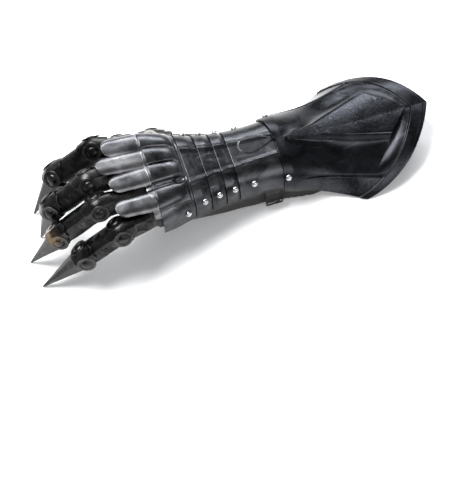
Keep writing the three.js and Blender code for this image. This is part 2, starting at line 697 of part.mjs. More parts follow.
// Buckle: a rectangular wire frame with a prong, standing on the strap's near side
function buckle() {
  const [width, height, bar, thick] = [strapWidth + 5, 12, 2, 1.8];
  const outline = new THREE.Shape([
    new THREE.Vector2(-width / 2, -height / 2), new THREE.Vector2(width / 2, -height / 2),
    new THREE.Vector2(width / 2, height / 2), new THREE.Vector2(-width / 2, height / 2)]);
  const [x, y] = [width / 2 - bar, height / 2 - bar];
  outline.holes.push(new THREE.Path([
    new THREE.Vector2(-x, -y), new THREE.Vector2(-x, y), new THREE.Vector2(x, y), new THREE.Vector2(x, -y)]));
  const frame = new THREE.ExtrudeGeometry(outline, { depth: thick, bevelEnabled: false });
  const prong = new THREE.BoxGeometry(bar, height, thick).translate(0, 0, thick / 2);
  const geometry = join(frame, prong);
  const angles = steps(rad(180), rad(180 + 4 * gloveStep), 4);
  const faces = angles.map((angle) => strapPoint(strapPlace, angle, strapWall));
  const edges = [-1, 1].flatMap((sign) => angles.map((angle) =>
    strapPoint(strapPlace + (sign * strapWidth) / 2, angle, strapWall)));
  const along = faces[1].clone().sub(faces[3]).setX(0).normalize();
  const out = new THREE.Vector3(0, -along.z, along.y);
  const proud = Math.max(...[...faces, ...edges].map((point) => point.clone().sub(faces[1]).dot(out)));
  const place = faces[1].clone().addScaledVector(along, 2.5 * bar - height / 2)
    .addScaledVector(out, proud + gap);
  const turn = new THREE.Matrix4().makeBasis(new THREE.Vector3().crossVectors(along, out), along, out);
  return geometry.applyMatrix4(turn.setPosition(place));
}

// Domed rivets, one on each side at every place along the wrist
const rivetPlaces = [
  { along: 0.789, side: 0.80, plate: handBack },
  { along: 0.640, side: 0.68, plate: backPlate },
  { along: 0.515, side: 0.66, plate: lameTwo },
  { along: 0.385, side: 0.66, plate: lameOne },
  { along: 0.225, side: 0.66, plate: wristPlate },
  { along: -0.045, side: 0.66, plate: null },
];

function rivet(x, side, lift) {
  const at = handPoint(x, side, lift);
  const across = handPoint(x, side + 0.02, lift).sub(handPoint(x, side - 0.02, lift));
  const ahead = handPoint(x - 1, side, lift).sub(handPoint(x + 1, side, lift));
  const out = new THREE.Vector3().crossVectors(ahead, across).normalize();
  if (out.dot(new THREE.Vector3(0, at.y, at.z)) < 0) out.negate();
  const rings = [[1, 0], [0.85, 0.6], [0.4, 0.95]].map(([wide, high]) => steps(0, 315, 7).map((degrees) => {
    const [c, n] = [Math.cos(rad(degrees)), Math.sin(rad(degrees))];
    return new THREE.Vector3(c * wide * rivetRadius, high * rivetHeight, n * wide * rivetRadius);
  }));
  const turn = new THREE.Quaternion().setFromUnitVectors(new THREE.Vector3(0, 1, 0), out);
  return ringSolid(rings).applyQuaternion(turn).translate(...at.addScaledVector(out, gap).toArray());
}

const hand = new THREE.Group();
handFrame.decompose(hand.position, hand.quaternion, hand.scale);

piece(hand, 'cuff', sheetSolid(cuffGrid(0), cuffGrid(cuffWall)), blackSteel);
piece(hand, 'wrist_plate', joggledPlate(wristPlate, 5), blackSteel);
piece(hand, 'wrist_lame_1', joggledPlate(lameOne, 3), blackSteel);
piece(hand, 'wrist_lame_2', joggledPlate(lameTwo, 3), blackSteel);
piece(hand, 'back_plate', joggledPlate(backPlate, 3), blackSteel);
piece(hand, 'metacarpal_plate', metacarpalPlate(), blackSteel);
piece(hand, 'knuckle_plate', knucklePlate(), blackSteel);
piece(hand, 'glove', glove(), blackLeather);
for (const digit of digits) piece(hand, `glove_${digit.name}`, gloveFinger(digit), blackLeather);
piece(hand, 'wrist_strap', wristStrap(), blackLeather);
piece(hand, 'buckle', buckle(), blackSteel);

rivetPlaces.forEach((place, i) => {
  const x = -place.along * handLength;
  for (const [name, sign] of [['near', -1], ['far', 1]]) {
    let lift = place.plate ? joggle(x, place.plate.front, place.plate.rear) : cuffLift;
    if (place.plate === handBack) lift = metacarpalLift(x, sign * place.side);
    piece(hand, `rivet_${name}_${i + 1}`, rivet(x, sign * place.side, lift), brightSteel);
  }
});

for (const digit of digits) {
  const links = chains.get(digit.name);
  const group = new THREE.Group();
  digitFrame(digit).decompose(group.position, group.quaternion, group.scale);
  hand.add(group);
  piece(group, `${digit.name}_base_plate`, basePlate(links, digit), blackSteel);
  piece(group, `${digit.name}_knuckle_cap`, jointCap(links, 1, 0, capPeak), blackSteel);
  piece(group, `${digit.name}_mid_plate`, midPlate(links, digit), blackSteel);
  piece(group, `${digit.name}_tip_cap`, jointCap(links, 2, capPeak, 0), blackSteel);
  piece(group, `${digit.name}_claw`, claw(links, digit), blackSteel);
}

// The origin is the middle of the part's footprint on the ground
const model = new THREE.Group();
model.add(hand);
model.updateMatrixWorld(true);
const box = new THREE.Box3().setFromObject(model, true);
hand.position.sub(new THREE.Vector3((box.min.x + box.max.x) / 2, (box.min.y + box.max.y) / 2, box.min.z));
model.updateMatrixWorld(true);

export default model;
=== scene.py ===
# An armoured gauntlet for a left hand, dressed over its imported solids, on a pale floor.
# Lengths are in millimetres in the hand's own frame until each piece is placed, in metres.
import math
from collections import namedtuple

import bmesh
import bpy
import numpy as np
from mathutils import Matrix, Vector, noise


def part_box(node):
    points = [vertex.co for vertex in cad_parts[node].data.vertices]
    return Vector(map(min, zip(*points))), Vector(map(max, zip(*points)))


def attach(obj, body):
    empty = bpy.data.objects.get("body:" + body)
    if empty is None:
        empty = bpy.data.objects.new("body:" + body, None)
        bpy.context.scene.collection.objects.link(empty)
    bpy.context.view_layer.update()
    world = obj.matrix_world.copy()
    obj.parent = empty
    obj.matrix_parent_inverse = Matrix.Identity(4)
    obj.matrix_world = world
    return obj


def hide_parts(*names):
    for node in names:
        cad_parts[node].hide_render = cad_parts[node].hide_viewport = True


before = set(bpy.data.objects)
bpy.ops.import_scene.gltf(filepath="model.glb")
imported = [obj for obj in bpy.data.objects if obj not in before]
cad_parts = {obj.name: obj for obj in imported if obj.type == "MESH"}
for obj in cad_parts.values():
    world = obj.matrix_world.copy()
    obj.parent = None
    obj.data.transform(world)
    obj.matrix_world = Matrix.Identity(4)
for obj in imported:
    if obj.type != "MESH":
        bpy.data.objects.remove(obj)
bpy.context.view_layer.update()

# Sizes, the same as the solids'
GAP = 0.4
PLATE_WALL = 1.2
LAYER_STEP = PLATE_WALL + GAP
LEATHER_WALL = 1.4
WRIST_HEIGHT = 28.0
HAND_TILT = 6.5
CUFF_TILT = 10.6
HAND_LENGTH = 128.0
KNUCKLE_HALF_WIDTH = 51.0
KNUCKLE_CROWN = 38.0
KNUCKLE_AXIS = 12.0
KNUCKLE_LEAN = 4.5
PALM_DEPTH = 31.0
BAND_HALF_WIDTH = 8.0
BAND_PART = 0.16
SIDE_DROP = 8.0
SAG_ROUND = 3.4
LEATHER_ROOM = 0.3
FLUTE_HEIGHT = 5.0
FLUTE_LENGTH = 33.0
PLATE_LAP = 8.0
STRAP_WIDTH = 14.0
STRAP_WALL = 1.8
STRAP_PLACE = -9.0
CUFF_LAP = 0.0
CUFF_WALL = 1.3
CUFF_SEAT = 12.0
CUFF_LENGTH = 160.0
CUFF_HEIGHT = 51.5
CUFF_CORNER = (84.0, 68.0)
CUFF_FLARE = 7.0
CUFF_LEAN = 70.0
CUFF_BORDER = 16.0
KITE_START = 14.0
KITE_WIDE = 119.0
KITE_END = 137.0
KITE_HALF_WIDTH = 29.0
KITE_NEAR_WIDTH = 20.0
KITE_RISE = 2.2
CUFF_FLUTE_DEPTH = 4.5
CUFF_SIDE_PANEL = 0.7
FLANK_ANGLE = 50.0
TUBE_RADIUS = 9.3
FOLD_WIDTH = 2.6
FOLD_DEPTH = 7.0
FINGER_WALL = 1.1
PLATE_ROUND = 12.4
PLATE_FLANK = 10.8
CAP_GAP = 0.6
CAP_ROUND = PLATE_ROUND + CAP_GAP + FINGER_WALL
CAP_FLANK = PLATE_FLANK + CAP_GAP + FINGER_WALL
CAP_BACK = 13.0
CAP_FRONT = 9.0
CAP_PEAK = 3.5
LOBE_RADIUS = 9.4
TAB_RADIUS = 11.5
TAB_HALF_WIDTH = 9.8
TAB_RISE = CAP_ROUND + GAP + 0.9 + PLATE_WALL
CLAW_START = 3.0
CLAW_TIP = 0.9
CLAW_WALL = 1.3
FINGERTIP_REACH = 24.0
THUMB_DROP = 13.0
FINGER_DROP = 1.5
CUFF_LIFT = LAYER_STEP
LEAF_START = -34.0
LEAF_LENGTH = 38.0
LEAF_HALF_WIDTH = 9.5
LEAF_ACROSS = 4.0
GLOVE_MOUTH = 0.48 * HAND_LENGTH

# Low relief that the solids leave out
KITE_STEP = 1.2
KITE_NEAR_SHIFT = 8.0
KITE_LINE_AT, KITE_LINE_HALF, KITE_LINE_DEPTH = 0.90, 0.04, 0.5
KITE_GUTTER = 0.024
FLUTE_EXTRA = 2.0
FLUTE_SKEW = 0.62
PANEL_STEP = 0.5
PANEL_CREASE, PANEL_CREASE_HALF = 1.1, 0.045
BORDER_STEP, BORDER_RAMP = 1.5, 0.012
HEM_DROP, HEM_AT, HEM_RAMP = 0.6, 0.975, 0.006
BEAD_RADIUS = 1.3
FRONT_NOTCH, FRONT_NOTCH_HALF = 2.2, 0.06
FRONT_FAR_SWEEP, FRONT_NEAR_SWEEP = 5.5, 1.5
RIDGE_HEIGHT, RIDGE_HALF, RIDGE_ASIDE, DISH_DEPTH = 0.9, 0.055, 0.03, 0.25
LEAF_RISE, LEAF_NOSE = 0.7, 0.35
SLIT_DEPTH, SLIT_HALF = 1.6, 1.3
POCKET_DEPTH, POCKET_REACH, POCKET_SOFT = 2.6, 5.5, 3.0
TAB_FALL, TAB_FALL_POWER = 3.4, 3.2
CAP_BULGE = 0.5
LIP_DEGREES = 32.0
CORNER_LENGTH = 5.0
PLATE_REACH = 84.0
MID_CORNER, BASE_CORNER, BASE_WAIST = 66.0, 62.0, 24.0
FOLD_HEIGHT = 0.0004
GLOVE_VOXEL = 0.0014
GROUND_CLEARANCE = 0.00002

# Sections of the hand: along, width, crown, axis, round, under, bulge
HAND_SECTIONS = np.array([
    (-0.50, 0.98, 0.30, -0.75, 2.1, 0.80, 0.05),
    (-0.27, 0.88, 0.50, -0.45, 2.1, 0.90, 0.24),
    (-0.09, 0.81, 0.71, -0.18, 2.1, 1.00, 0.20),
    (0.00, 0.77, 0.75, 0.00, 2.1, 1.00, 0.18),
    (0.08, 0.74, 0.73, 0.00, 2.1, 1.00, 0.18),
    (0.27, 0.71, 0.72, 0.00, 2.1, 1.00, 0.19),
    (0.51, 0.76, 0.78, 0.17, 2.2, 0.90, 0.14),
    (0.76, 0.88, 0.92, 0.50, 2.4, 0.58, 0.03),
    (1.00, 1.00, 1.00, 1.00, 2.6, -0.05, -0.06),
    (1.08, 1.00, 0.98, 1.30, 2.6, -0.30, -0.10),
])

# Places as shares of the hand's length and of the knuckles' half width, turns in degrees
Digit = namedtuple("Digit", "name along across yaw pitch roll bend segments")
DIGITS = [
    Digit("index", 0.984, 0.706, 10.7, 7.4, 12, 23.6, (46.4, 50.1, 65.2)),
    Digit("middle", 1.010, 0.25, -1.1, 4, 0.5, 32, (56.5, 48, 60)),
    Digit("ring", 1.010, -0.22, -7.4, 6.5, -8.7, 13, (55.5, 54.5, 63.5)),
    Digit("little", 0.968, -0.667, -12, -1, -14, 5, (47, 47, 67.5)),
    Digit("thumb", 0.547, 0.902, 21, -6, 40, 12, (41, 36, 60)),
]
TABS = [
    Digit("index", 1.0, 0.66, -0.5, 10, -1, 0, (41.5,)),
    Digit("middle", 1.0, 0.28, 2, 4.5, 0, 0, (50,)),
    Digit("ring", 1.0, -0.07, -5, 7.5, 0, 0, (44,)),
    Digit("little", 1.0, -0.59, -2.5, 8, -1, 0, (45,)),
]
FLUTE_ACROSS = [tab.across for tab in TABS]

rad = math.radians


def mix(a, b, t):
    return a + (b - a) * t


def smooth(t):
    t = np.clip(t, 0, 1)
    return t * t * (3 - 2 * t)


# Forms of the hand, shared by its plates and its leather
_sections = {}


def hand_section(x):
    key = round(float(x), 4)
    if key in _sections:
        return _sections[key]
    along = -x / HAND_LENGTH
    table = HAND_SECTIONS
    k = int(np.clip(np.searchsorted(table[:, 0], along, "right") - 1, 0, len(table) - 2))
    a, b = table[k], table[k + 1]
    before, after = table[max(k - 1, 0)], table[min(k + 2, len(table) - 1)]
    span = b[0] - a[0]
    t = (along - a[0]) / span
    rise_a = (b - before) / (b[0] - before[0]) * span
    rise_b = (after - a) / (after[0] - a[0]) * span
    row = ((2 * t**3 - 3 * t**2 + 1) * a + (t**3 - 2 * t**2 + t) * rise_a
           + (3 * t**2 - 2 * t**3) * b + (t**3 - t**2) * rise_b)
    axis = row[3] * KNUCKLE_AXIS
    _sections[key] = {
        "width": row[1] * KNUCKLE_HALF_WIDTH, "rise": row[2] * KNUCKLE_CROWN - axis, "axis": axis,
        "power": 2 / row[4], "lean": KNUCKLE_LEAN * float(np.clip(along, 0, 1)) ** 2,
        "under": row[5] * PALM_DEPTH, "bulge": row[6] * KNUCKLE_HALF_WIDTH}
    return _sections[key]


def hand_point(x, side, lift):
    """Points across the hand at x: side is an array from -1, near, to 1, far."""
    s = hand_section(x)
    side = np.asarray(side, float)
    across = np.abs(side)
    turn = np.clip((across - BAND_PART) / (1 - BAND_PART), 0, 1)
    angle = np.radians(90 - turn * (90 + SIDE_DROP))
    out = np.clip(np.cos(angle), 0, 1) ** s["power"]
    up = np.sign(np.sin(angle)) * np.abs(np.sin(angle)) ** s["power"]
    y = np.where(side < 0, -1, 1) * (
        BAND_HALF_WIDTH * np.minimum(1, across / BAND_PART)
        + (s["width"] + lift - BAND_HALF_WIDTH) * out)
    z = s["axis"] + (s["rise"] + lift) * up + s["lean"] * y / s["width"]
    return np.stack([np.full_like(y, x), y, z], -1)


def joggle(x, front, rear):
    return LAYER_STEP * (0.5 - smooth((x - front - PLATE_LAP) / (rear - front - 2 * PLATE_LAP)))


def flute_lift(x, side):
    y = hand_point(x, side, 0.0)[..., 1]
    fade = np.clip((FLUTE_LENGTH - HAND_LENGTH - x) / (0.35 * FLUTE_LENGTH), 0, 1)
    width = hand_section(x)["width"]
    half = (FLUTE_ACROSS[0] - FLUTE_ACROSS[3]) * width / 6
    height = np.zeros_like(y)
    for across in FLUTE_ACROSS:
        off = np.abs(y - across * width) / half
        height = np.maximum(height, np.sqrt(np.clip(1 - off * off, 0, 1)))
    return FLUTE_HEIGHT * height * math.sqrt(1 - (1 - fade) ** 2)


# Frames
def turn_y(degrees):
    c, s = math.cos(rad(degrees)), math.sin(rad(degrees))
    return np.array([[c, 0, s, 0], [0, 1, 0, 0], [-s, 0, c, 0], [0, 0, 0, 1.0]])


def moved(matrix, points):
    points = np.asarray(points, float)
    return points @ matrix[:3, :3].T + matrix[:3, 3]


HAND_FRAME = turn_y(HAND_TILT)
HAND_FRAME[2, 3] = WRIST_HEIGHT


def digit_height(digit):
    if digit.name == "thumb":
        return -THUMB_DROP
    low, high = -1.0, 1.0
    for _ in range(30):
        side = (low + high) / 2
        if hand_point(-HAND_LENGTH, [side], 0.0)[0, 1] < digit.across * KNUCKLE_HALF_WIDTH:
            low = side
        else:
            high = side
    top = hand_point(-HAND_LENGTH, [low], FLUTE_HEIGHT - LAYER_STEP / 2)[0, 2] - TAB_RISE
    return top - FINGER_DROP if digit in DIGITS else top


def digit_frame(digit):
    yaw, pitch, roll = rad(digit.yaw), rad(digit.pitch), rad(digit.roll)
    level = math.cos(pitch)
    ahead = np.array([-level * math.cos(yaw), level * math.sin(yaw), math.sin(pitch)])
    flat_side = np.array([-math.sin(yaw), -math.cos(yaw), 0.0])
    flat_up = np.cross(ahead, flat_side)
    side = flat_side * math.cos(roll) + flat_up * math.sin(roll)
    matrix = np.eye(4)
    matrix[:3, 0], matrix[:3, 1], matrix[:3, 2] = ahead, side, np.cross(ahead, side)
    matrix[:3, 3] = (-digit.along * HAND_LENGTH, digit.across * KNUCKLE_HALF_WIDTH, digit_height(digit))
    return matrix


def chain(digit, flex):
    first, second, _ = digit.segments
    turns = (0.0, rad(flex), rad(flex + digit.bend))
    last = (first + second * math.cos(turns[1]), -second * math.sin(turns[1]))
    return {"turns": turns, "places": ((0.0, 0.0), (first, 0.0), last)}


def on_chain(links, joint, turn, x, y, z):
    ax, az = links["places"][joint]
    c, s = np.cos(turn), np.sin(turn)
    x, y, z = np.broadcast_arrays(np.asarray(x, float), np.asarray(y, float), np.asarray(z, float))
    return np.stack([ax + c * x + s * z, y, az - s * x + c * z], -1)


def arch_radius(angle, round_, flank):
    off = np.abs(angle) - rad(FLANK_ANGLE)
    flat = flank / np.cos(np.clip(off, -1.4, 1.4))
    return np.where(np.abs(angle) > math.pi / 2, round_, np.minimum(round_, flat))


def tip_height(digit, flex):
    links = chain(digit, flex)
    matrix = HAND_FRAME @ digit_frame(digit)
    length = digit.segments[2]
    around = np.radians(45.0 * np.arange(8))
    around = np.where(around > math.pi, around - 2 * math.pi, around)
    radius = arch_radius(around, PLATE_ROUND, PLATE_FLANK) * CLAW_TIP / PLATE_ROUND
    ring = on_chain(links, 2, links["turns"][2], length - CLAW_TIP,
                    radius * np.sin(around), radius * np.cos(around))
    tip = on_chain(links, 2, links["turns"][2], length, 0, 0)
    return min(moved(matrix, ring)[:, 2].min(), moved(matrix, tip)[2])


def grounded_chain(digit):
    low, high = -10.0, 90.0
    for _ in range(40):
        flex = (low + high) / 2
        if tip_height(digit, flex) > 0:
            low = flex
        else:
            high = flex
    return chain(digit, low)


CHAINS = {digit.name: grounded_chain(digit) for digit in DIGITS}


# Cuff form: u runs from the wrist to the rim, v from -1, near, to 1, far
def corner_drop():
    whole = rad(CUFF_TILT + HAND_TILT)
    wall = CUFF_WALL * math.cos(rad(CUFF_LEAN))
    return (CUFF_CORNER[0] * math.sin(whole) - WRIST_HEIGHT) / math.cos(whole) + wall


def rim_point(v):
    s = np.abs(v)
    x = mix(CUFF_LENGTH, CUFF_CORNER[0], mix(s**1.25, s, 0.6 * np.clip(1 - s / 0.5, 0, 1)))
    y = np.sign(v) * CUFF_CORNER[1] * np.sin(np.radians(90 * s)) ** 0.95
    z = mix(corner_drop(), CUFF_HEIGHT, np.clip(np.cos(np.radians(90 * s)), 0, 1) ** 1.1)
    return moved(turn_y(CUFF_TILT), np.stack([x, y, z], -1))


def cuff_point(u, v, lift):
    v = np.asarray(v, float)
    lift = np.broadcast_to(np.asarray(lift, float), v.shape)
    u = np.broadcast_to(np.asarray(u, float), v.shape)[..., None]
    seat = hand_point(CUFF_SEAT, v, CUFF_LIFT + lift)
    point = mix(seat, rim_point(v), u)
    lean = np.radians(CUFF_LEAN * v)
    outward = np.stack([np.zeros_like(v), np.sin(lean), np.cos(lean)], -1)
    sag = CUFF_FLARE * np.sin(math.pi * u) * (1 - 0.5 * u)
    return point + outward * (lift[..., None] * u - sag)


# The solids' own middle and height on the ground
def group_shift():
    corners = np.array([
        cuff_point(1.0, [0.0, -1.0, 1.0], 0.0), cuff_point(1.0, [0.0, -1.0, 1.0], -CUFF_WALL)])
    world = moved(HAND_FRAME, corners.reshape(-1, 3))
    low, high = (np.array(c) * 1000 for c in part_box("cuff"))
    return np.array([high[0] - world[:, 0].max(), low[1] - world[:, 1].min(), low[2] - world[:, 2].min()])


GROUP_SHIFT = group_shift()
HAND_FRAME[:3, 3] += GROUP_SHIFT


# Piece building
def in_scene(name, data):
    made = bpy.data.objects.new(name, data)
    bpy.context.scene.collection.objects.link(made)
    return made


class Shells:
    """Closed grids and turned shapes, gathered into one mesh in metres in the row's frame."""

    def __init__(self, matrix):
        self.matrix = matrix
        self.points, self.faces, self.worn, self.count = [], [], [], 0

    def add(self, points, faces, worn):
        placed = moved(self.matrix, points) * 0.001
        placed[:, 2] = np.maximum(placed[:, 2], GROUND_CLEARANCE)
        self.points.append(placed)
        self.faces += [tuple(i + self.count for i in face) for face in faces]
        self.worn.append(np.broadcast_to(worn, len(points)).astype(float))
        self.count += len(points)

    def sheet(self, outer, inner, etched=None):
        rows, columns = outer.shape[:2]
        index = np.arange(2 * rows * columns).reshape(2, rows, columns)
        faces = []

        def quads(a, b, c, d):
            faces.extend(map(tuple, np.stack([a.ravel(), b.ravel(), c.ravel(), d.ravel()], -1).tolist()))

        top, base = index
        quads(top[:-1, :-1], top[1:, :-1], top[1:, 1:], top[:-1, 1:])
        quads(base[:-1, :-1], base[:-1, 1:], base[1:, 1:], base[1:, :-1])
        quads(top[:-1, 0], base[:-1, 0], base[1:, 0], top[1:, 0])
        quads(top[:-1, -1], top[1:, -1], base[1:, -1], base[:-1, -1])
        quads(top[0, :-1], top[0, 1:], base[0, 1:], base[0, :-1])
        quads(top[-1, :-1], base[-1, :-1], base[-1, 1:], top[-1, 1:])
        worn = border_wear(outer)
        if etched is not None:
            worn = np.where((worn <= 0) & (etched > 0), -etched, worn)
        self.add(np.concatenate([outer.reshape(-1, 3), inner.reshape(-1, 3)]), faces,
                 np.concatenate([worn.ravel(), worn.ravel()]))

    def rings(self, rings, worn=0.0):
        rings = np.asarray(rings)
        count, sides = rings.shape[:2]
        points = np.concatenate([rings.reshape(-1, 3), rings[:1].mean(1), rings[-1:].mean(1)])
        faces = []
        for i in range(count - 1):
            for j in range(sides):
                a, b = i * sides + j, i * sides + (j + 1) % sides
                faces.append((a, b, b + sides, a + sides))
        first, last = count * sides, count * sides + 1
        for j in range(sides):
            faces.append(((j + 1) % sides, j, first))
            faces.append(((count - 1) * sides + j, (count - 1) * sides + (j + 1) % sides, last))
        self.add(points, faces, worn)

    def turned(self, profile, place, normal, worn=0.0, sides=40):
        """A profile of (radius, height) turned about the normal at a place."""
        normal = np.asarray(normal, float) / np.linalg.norm(normal)
        helper = np.array([1.0, 0, 0]) if abs(normal[0]) < 0.8 else np.array([0, 1.0, 0])
        a = np.cross(normal, helper)
        a /= np.linalg.norm(a)
        b = np.cross(normal, a)
        angle = np.linspace(0, 2 * math.pi, sides, endpoint=False)
        ring = np.cos(angle)[:, None] * a + np.sin(angle)[:, None] * b
        if np.ndim(worn):
            worn = np.append(np.repeat(worn, sides), [worn[0], worn[-1]])
        self.rings([place + ring * max(r, 0.02) + normal * h for r, h in profile], worn)

    def mesh(self, name):
        """The gathered shells as one mesh, its faces turned outward."""
        made = bpy.data.meshes.new(name)
        made.from_pydata(np.concatenate(self.points).tolist(), [], self.faces)
        faced = bmesh.new()
        faced.from_mesh(made)
        bmesh.ops.recalc_face_normals(faced, faces=faced.faces)
        faced.to_mesh(made)
        faced.free()
        return made

    def build(self, name, nodes, material, slot, bevel=0.25, angle=38.0):
        mesh = self.mesh(name)
        worn = mesh.attributes.new("worn", "FLOAT", "POINT")
        worn.data.foreach_set("value", np.concatenate(self.worn).astype(np.float32))
        piece = in_scene(name, mesh)
        mesh.materials.append(material)
        if bevel:
            rounding = piece.modifiers.new("rounding", "BEVEL")
            rounding.width = bevel * 0.001
            rounding.segments = 2
            rounding.limit_method = "ANGLE"
            rounding.angle_limit = rad(50)
            apply_modifiers(piece)
        piece.data.shade_smooth()
        piece.data.set_sharp_from_angle(angle=rad(angle))
        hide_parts(*nodes)
        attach(piece, "root")


def apply_modifiers(piece):
    bpy.context.view_layer.update()
    evaluated = piece.evaluated_get(bpy.context.evaluated_depsgraph_get())
    mesh = bpy.data.meshes.new_from_object(evaluated)
    old = piece.data
    piece.modifiers.clear()
    piece.data = mesh
    bpy.data.meshes.remove(old)


def border_wear(grid, reach=2.5):
    """1 along a sheet's edges, falling to 0 a little way in."""
    def run(points):
        step = np.linalg.norm(np.diff(points, axis=0), axis=-1)
        total = np.concatenate([np.zeros((1, step.shape[1])), np.cumsum(step, 0)])
        return np.minimum(total, total[-1] - total)
    rows = run(grid)
    columns = run(grid.transpose(1, 0, 2)).T
    return np.clip(1 - np.minimum(rows, columns) / reach, 0, 1)


def cap_top(finger):
    """Where the last cap of a finger is worn through, in metres."""
    digit = next(d for d in DIGITS if d.name == finger)
    links = CHAINS[finger]
    turn = (links["turns"][1] + links["turns"][2]) / 2
    spot = on_chain(links, 2, turn, 2.0, 2.0, CAP_ROUND)
    return tuple(float(v) for v in moved(HAND_FRAME @ digit_frame(digit), spot) * 0.001)


# Materials
class Graph:
    """A material's nodes, added one at a time."""

    def __init__(self, name):
        self.material = bpy.data.materials.new(name)
        self.material.use_nodes = True
        self.tree = self.material.node_tree
        self.shader = self.tree.nodes["Principled BSDF"]

    def node(self, kind, **settings):
        made = self.tree.nodes.new(kind)
        for key, value in settings.items():
            if key[0].isupper():
                made.inputs[key.replace("_", " ")].default_value = value
            else:
                setattr(made, key, value)
        return made

    def link(self, source, target):
        self.tree.links.new(source, target)

    def place(self, scale=(1, 1, 1)):
        coordinates = self.node("ShaderNodeTexCoord")
        mapping = self.node("ShaderNodeMapping")
        mapping.inputs["Scale"].default_value = scale
        self.link(coordinates.outputs["Object"], mapping.inputs["Vector"])
        return mapping.outputs["Vector"]

    def noise(self, scale, detail=4.0, roughness=0.5, stretch=(1, 1, 1), distortion=0.0):
        made = self.node("ShaderNodeTexNoise", Scale=scale, Detail=detail, Roughness=roughness,
                         Distortion=distortion)
        self.link(self.place(stretch), made.inputs["Vector"])
        return made.outputs["Fac"]

    def ramp(self, source, stops):
        made = self.node("ShaderNodeValToRGB")
        elements = made.color_ramp.elements
        while len(elements) < len(stops):
            elements.new(0.5)
        for element, (position, colour) in zip(elements, stops):
            element.position = position
            element.color = (*colour, 1) if isinstance(colour, tuple) else (colour, colour, colour, 1)
        self.link(source, made.inputs["Fac"])
        return made.outputs["Color"]

    def math(self, operation, *values):
        made = self.node("ShaderNodeMath", operation=operation)
        for i, value in enumerate(values):
            if isinstance(value, (int, float)):
                made.inputs[i].default_value = value
            else:
                self.link(value, made.inputs[i])
        return made.outputs[0]

    def mixed(self, factor, a, b):
        made = self.node("ShaderNodeMix", data_type="RGBA")
        for socket, value in ((made.inputs[0], factor), (made.inputs[6], a), (made.inputs[7], b)):
            if isinstance(value, (int, float)):
                socket.default_value = value
            elif isinstance(value, tuple):
                socket.default_value = (*value, 1)
            else:
                self.link(value, socket)
        return made.outputs[2]

    def attribute(self, name):
        return self.node("ShaderNodeAttribute", attribute_name=name).outputs["Fac"]

    def bump(self, *layers):
        normal = None
        for height, strength, distance in layers:
            made = self.node("ShaderNodeBump", Strength=strength, Distance=distance)
            self.link(height, made.inputs["Height"])
            if normal is not None:
                self.link(normal, made.inputs["Normal"])
            normal = made.outputs["Normal"]
        self.link(normal, self.shader.inputs["Normal"])

    def set(self, socket, value):
        if isinstance(value, (int, float)):
            self.shader.inputs[socket].default_value = value
        elif isinstance(value, tuple):
            self.shader.inputs[socket].default_value = (*value, 1)
        else:
            self.link(value, self.shader.inputs[socket])


def grey(value):
    return (value, value, value)


def brighter(colour, times):
    return tuple(min(1, c * times) for c in colour)


def black_steel(name, base, light, rough, swirl=1.0, patch=None, wear=1.2):
    """Blackened, hand-polished steel: swirl marks, smears, scratches and worn edges.

    The attribute read here is positive along worn edges and on the rings of the joint discs, where it
    paints a highlight as well as wear, and negative where there is etched scroll.
    """
    g = Graph(name)
    smears = g.noise(38, 5, 0.6, distortion=1.2)
    swirls = g.noise(150, 3, 0.55, distortion=3.0)
    fine = g.noise(700, 2, 0.5, (1, 0.25, 1))
    scratches = g.noise(240, 2, 0.5, (0.15, 1, 1), 0.6)
    worn = g.attribute("worn")
    # Lighter worn edges; on the joint discs the same lightening is a painted highlight ring.
    edge_wear_and_highlight = g.ramp(g.math("MULTIPLY", g.math("MAXIMUM", worn, 0.0), g.math("ADD", smears, 0.35)),
                  [(0.55, 0.0), (0.95, 1.0)])
    waves = g.math("SINE", g.math("MULTIPLY", g.noise(85, 0.0, 0.5, distortion=1.6), 60.0))
    curls = g.ramp(waves, [(0.45, 0.0), (0.85, 1.0)])
    etched = g.math("MULTIPLY", curls, g.math("MAXIMUM", g.math("MULTIPLY", worn, -1.0), 0.0))
    tone = g.mixed(g.ramp(smears, [(0.35, 0.0), (0.7, 1.0)]), base, light)
    marks = g.ramp(scratches, [(0.62, 0.0), (0.72, 0.35)])
    tone = g.mixed(marks, tone, brighter(light, 2.2))
    tone = g.mixed(g.math("MULTIPLY", etched, 0.5), tone, brighter(light, 3))
    tone = g.mixed(edge_wear_and_highlight, tone, brighter(light, wear))
    if patch:
        place, radius, colour = patch
        coordinates = g.node("ShaderNodeTexCoord")
        away = g.node("ShaderNodeVectorMath", operation="DISTANCE")
        away.inputs[1].default_value = place
        g.link(coordinates.outputs["Object"], away.inputs[0])
        spread = g.math("ADD", g.math("DIVIDE", away.outputs["Value"], radius),
                        g.math("MULTIPLY", g.math("SUBTRACT", swirls, 0.5), 1.4))
        worn_through = g.ramp(spread, [(0.35, 0.8), (1.1, 0.0)])
        tone = g.mixed(worn_through, tone, colour)
    g.set("Base Color", tone)
    g.set("Metallic", 1.0)
    g.set("Roughness", g.mixed(g.ramp(smears, [(0.3, 0.0), (0.75, 1.0)]), grey(rough), grey(rough + 0.13)))
    g.bump((swirls, 0.14 * swirl, 0.0006), (fine, 0.06, 0.0002), (scratches, 0.07 * swirl, 0.0003),
           (etched, -0.6, 0.0006))
    return g.material


def bright_steel():
    g = Graph("bright_steel")
    cloud = g.noise(420, 3, 0.5)
    dull = g.ramp(cloud, [(0.4, 0.0), (0.7, 1.0)])
    g.set("Base Color", g.mixed(dull, (0.44, 0.44, 0.45), (0.28, 0.28, 0.29)))
    g.set("Metallic", 1.0)
    g.set("Roughness", g.mixed(cloud, grey(0.16), grey(0.34)))
    g.bump((g.noise(900, 2), 0.06, 0.0002))
    return g.material


